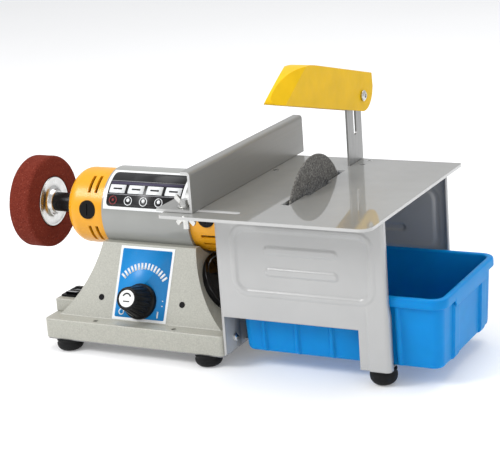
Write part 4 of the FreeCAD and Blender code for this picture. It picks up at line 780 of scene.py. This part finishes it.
def arc_band(x, y, inner, outer, start, sweep, count=24):
    """A curved band, as an outline; its start and sweep are in degrees."""
    return quarter(x, y, outer, start, count, sweep) + quarter(x, y, inner, start + sweep, count, -sweep)


def ticks_on_arc(x, y, inner, outer, start, sweep, count, width):
    """Evenly spaced bars that point at a centre, each as an outline."""
    bars = []
    centre = Vector((x, y))
    for number in range(count):
        angle = math.radians(start + sweep * number / (count - 1))
        along = Vector((math.cos(angle), math.sin(angle)))
        across = Vector((-along.y, along.x)) * (width / 2)
        bars.append([tuple(centre + along * inner - across), tuple(centre + along * outer - across),
                     tuple(centre + along * outer + across), tuple(centre + along * inner + across)])
    return bars


def slope_point(x, up, out):
    """A point on the casting's sloping front, in metres, from mm across, up and out of it."""
    y = SLOPE_FOOT_Y + up * math.sin(SLOPE_LEAN) - out * math.cos(SLOPE_LEAN)
    z = SLOPE_FOOT_Z + up * math.cos(SLOPE_LEAN) + out * math.sin(SLOPE_LEAN)
    return Vector((BASE_X + x, y, z)) * MM


def control_prints():
    """Blue field, tick arc and switch marks on the front label, and the mark on the knob's disc."""
    field = round_block(-28.4, 3.6, 28.4, 72.8, 1.6)
    print_piece("label_field", [field], slope_point, "blue", "blue_foil", "machine", 0.46)
    marks = ticks_on_arc(0, KNOB_UP + 6, 26.5, 33.0, 38, 104, 15, 2.2)
    marks.append(arc_band(-21, 9, 2.2, 3.3, 100, 340, 30))
    marks.append(round_block(19.6, 5.6, 21.4, 12.4, 0.8))
    marks += [disc(24.5, up, 0.7, 12) for up in (18, 23)]
    print_piece("label_marks", marks, slope_point, "white", "blue_foil", "machine", 0.54)
    face_of_disc = 28.9
    pointer = [arc_band(0, KNOB_UP + 0.6, 3.6, 5.2, 20, 140),
               round_block(-3.6, KNOB_UP - 3.4, 3.6, KNOB_UP - 2.3, 0.4)]
    print_piece("knob_mark", pointer, slope_point, "black", "white_disc", "knob", face_of_disc)


def barrel_point(x, up, lift):
    """A point on the barrel's front: mm along it, and mm up round it from the label's lower edge."""
    radius = BARREL_RADIUS + lift
    angle = BARREL_LABEL_START + up / BARREL_RADIUS
    y = SPINDLE_Y - radius * math.cos(angle)
    z = SPINDLE_Z + radius * math.sin(angle)
    return Vector((BARREL_LABEL_LEFT + x, y, z)) * MM


def motor_prints():
    """The motor's label: black field, a plum strip, four boxes with bars, and five round signs."""
    on_foil, on_field, on_box = 0.08, 0.16, 0.24

    def put(name, shapes, color, lift):
        print_piece(name, shapes, barrel_point, color, "black_foil", "machine", lift, step=0.8)

    put("motor_label_field", [round_block(3.4, 3.0, 88.6, 43.6, 4)], "black", on_foil)
    put("motor_label_strip", [block(5, 26.6, 87, 29.8)], "plum", on_field)
    rules = [block(3.4, low, 88.6, low + 0.6) for low in (30.4, 15.2)]
    put("motor_label_rules", rules, "grey", on_field)
    box_lefts = [5 + 21.4 * number for number in range(4)]
    boxes = [round_block(left, 16.8, left + 18, 26.0, 0.7) for left in box_lefts]
    put("motor_label_boxes", boxes, "white", on_field)
    bars = [round_block(left + 4, 20.6, left + 14, 22.4, 0.6) for left in box_lefts]
    put("motor_label_bars", bars, "black", on_box)
    alert_x, *sign_xs = [11 + 17.6 * number for number in range(5)]
    signs = [arc_band(x, 9.2, 3.8, 4.6, 80, 350, 30) for x in sign_xs]
    signs += [disc(x, 9.9, 1.9, 20) for x in sign_xs]
    put("motor_label_signs", signs, "white", on_field)
    alert = [arc_band(alert_x, 9.2, 3.6, 4.6, 80, 350, 30), disc(alert_x, 9.5, 1.5, 20)]
    put("motor_label_alert", alert, "red", on_field)


# ---------------------------------------------------------------- knob and feet

def slope_frame(up):
    """A frame on the sloping front whose Z axis points out of it and whose Y axis climbs it."""
    origin = slope_point(0, up, 0)
    out = (slope_point(0, up, 1) - origin).normalized()
    climb = (slope_point(0, up + 1, 0) - origin).normalized()
    return Matrix.Translation(origin) @ Matrix((Vector((1, 0, 0)), climb, out)).transposed().to_4x4()


def speed_knob():
    """Skirted knob, its grip fluted and its rims rounded."""
    skirt = [(3.05, 0.7), (17.4, 0.7), (18.0, 1.3), (18.0, 4.2), (17.6, 5.2), (16.3, 6.3), (15.6, 8.2)]
    grip = [(11.6, 27.6), (11.2, 28.5), (10.4, 29.0), (9.2, 29.0), (8.6, 28.6), (8.5, 28.0), (3.05, 27.9)]
    flutes = 16
    flute_depth = 0.9 * MM

    def fluted(radius, height, angle):
        share = between(height, 8.5 * MM, 27.4 * MM, 0.8 * MM) * smooth_step(radius, 9 * MM, 10.5 * MM)
        groove = max(math.cos(angle * flutes), 0.0) ** 1.5
        return radius - flute_depth * share * groove

    mesh = lathe(resampled(in_metres(skirt + grip), 0.7 * MM), slope_frame(KNOB_UP), 256, fluted)
    new_piece("fluted_knob", mesh, "dark_plastic", "knob", "speed_knob")


def rubber_feet(name, node, radius, height, centres):
    """Moulded feet with a domed tread, a shallow neck and a screw well."""
    dome = height * 0.55
    well = [(3.2, 4.0), (3.2, 0.4), (3.6, 0.0)]
    tread = quarter(radius - dome, dome, dome, -90, 10)
    neck = [(radius, height - 5.0), (radius - 0.9, height - 3.6), (radius - 0.9, height - 2.4),
            (radius - 0.2, height - 1.4), (radius - 0.3, height - 0.3), (radius - 0.8, height)]
    profile = in_metres(well + tread + neck + [(2.3, height)])
    mesh = gathered([lathe(profile, Matrix.Translation((x * MM, y * MM, 0)), 72) for x, y in centres])
    roughen(mesh, 1.3 * MM, 0.05 * MM)
    new_piece(name, mesh, "rubber_feet", "machine", node)


BASE_FOOT_CENTRES = [(BASE_X + 80 * side, BASE_Y + 79 * depth) for side in (-1, 1) for depth in (-1, 1)]
LEG_FOOT_CENTRES = [(189.0, -80.0), (189.0, 64.0)]

dress_cad_nodes()
for softened, edge_width in SOFT_EDGES.items():
    soften(frame["nodes"][softened], edge_width)
grinding_wheel()
wheel_flanges()
saw_blade()
pressed_panel("front_pressing", "front_panel", FRONT_WALL, 1)
pressed_panel("back_pressing", "back_panel", BACK_WALL, -1)
panel_tabs("front_tabs", FRONT_WALL, 1)
panel_tabs("back_tabs", BACK_WALL, -1)
water_tray()
control_prints()
motor_prints()
speed_knob()
rubber_feet("base_treads", "base_feet", 13.5, 12.0, BASE_FOOT_CENTRES)
rubber_feet("leg_treads", "leg_feet", 13.0, 16.0, LEG_FOOT_CENTRES)


# ---------------------------------------------------------------- camera, light and floor

# The photo's camera: its place in metres, and how it is turned, lowered and rolled.
CAMERA_PLACE = (0.7332, -1.3448, 0.5508)
CAMERA_TURN, CAMERA_DOWN, CAMERA_ROLL = (math.radians(angle) for angle in (28.0, 16.05, -4.2))
CAMERA_LENS = 114.8

WHITE_FLOOR = (0.86, 0.86, 0.86)
SKY_COLOR = (0.97, 0.98, 1.0)
SKY_STRENGTH = 0.72
LIGHTS_AIM = (0, 0, 0.1)


def look_axes(turn, down, roll):
    """Right, up and forward of a camera turned from the front, looking down and rolled."""
    forward = Vector((-math.sin(turn) * math.cos(down), math.cos(turn) * math.cos(down), -math.sin(down)))
    right = Vector((math.cos(turn), math.sin(turn), 0))
    up = right.cross(forward)
    turned_right = right * math.cos(roll) + up * math.sin(roll)
    turned_up = up * math.cos(roll) - right * math.sin(roll)
    return turned_right, turned_up, forward


def add_camera():
    """The camera that sees what the photo shows."""
    right, up, forward = look_axes(CAMERA_TURN, CAMERA_DOWN, CAMERA_ROLL)
    data = bpy.data.cameras.new("camera")
    data.lens = CAMERA_LENS
    data.sensor_width = 36
    data.clip_end = 20
    camera = bpy.data.objects.new("camera", data)
    columns = Matrix((right, up, -forward)).transposed().to_4x4()
    camera.matrix_world = Matrix.Translation(CAMERA_PLACE) @ columns
    bpy.context.collection.objects.link(camera)
    bpy.context.scene.camera = camera


def add_light(name, place, side, watts):
    """A square white lamp that looks at the machine."""
    data = bpy.data.lights.new(name, "AREA")
    data.shape = "RECTANGLE"
    data.size = side
    data.size_y = side
    data.energy = watts
    light = bpy.data.objects.new(name, data)
    light.location = place
    light.rotation_euler = (Vector(LIGHTS_AIM) - Vector(place)).to_track_quat("-Z", "Y").to_euler()
    bpy.context.collection.objects.link(light)


def add_stage():
    """White floor, even light from the sky, and three lamps."""
    shader = Shader("studio_floor", WHITE_FLOOR, 0.9)
    shader.vary(shader.grain(0.5, 1), 0.01)
    shader.set(Emission_Color=(1, 1, 1, 1), Emission_Strength=0.16)
    reach = 20.0
    corners = [(-reach, -reach, 0), (reach, -reach, 0), (reach, reach, 0), (-reach, reach, 0)]
    mesh = bpy.data.meshes.new("studio_floor")
    mesh.from_pydata(corners, [], [(0, 1, 2, 3)])
    floor = bpy.data.objects.new("studio_floor", mesh)
    floor.data.materials.append(shader.material)
    bpy.context.collection.objects.link(floor)

    world = bpy.data.worlds.new("studio")
    world.use_nodes = True
    sky = world.node_tree.nodes["Background"]
    sky.inputs["Color"].default_value = (*SKY_COLOR, 1)
    sky.inputs["Strength"].default_value = SKY_STRENGTH
    bpy.context.scene.world = world
    add_light("key", (-1.1, -1.2, 1.5), 0.8, 26)
    add_light("top", (0.2, 0.5, 1.8), 1.4, 16)
    add_light("fill", (1.6, -0.8, 0.7), 1.0, 4)


add_camera()
add_stage()
bpy.context.scene.view_settings.view_transform = "Standard"
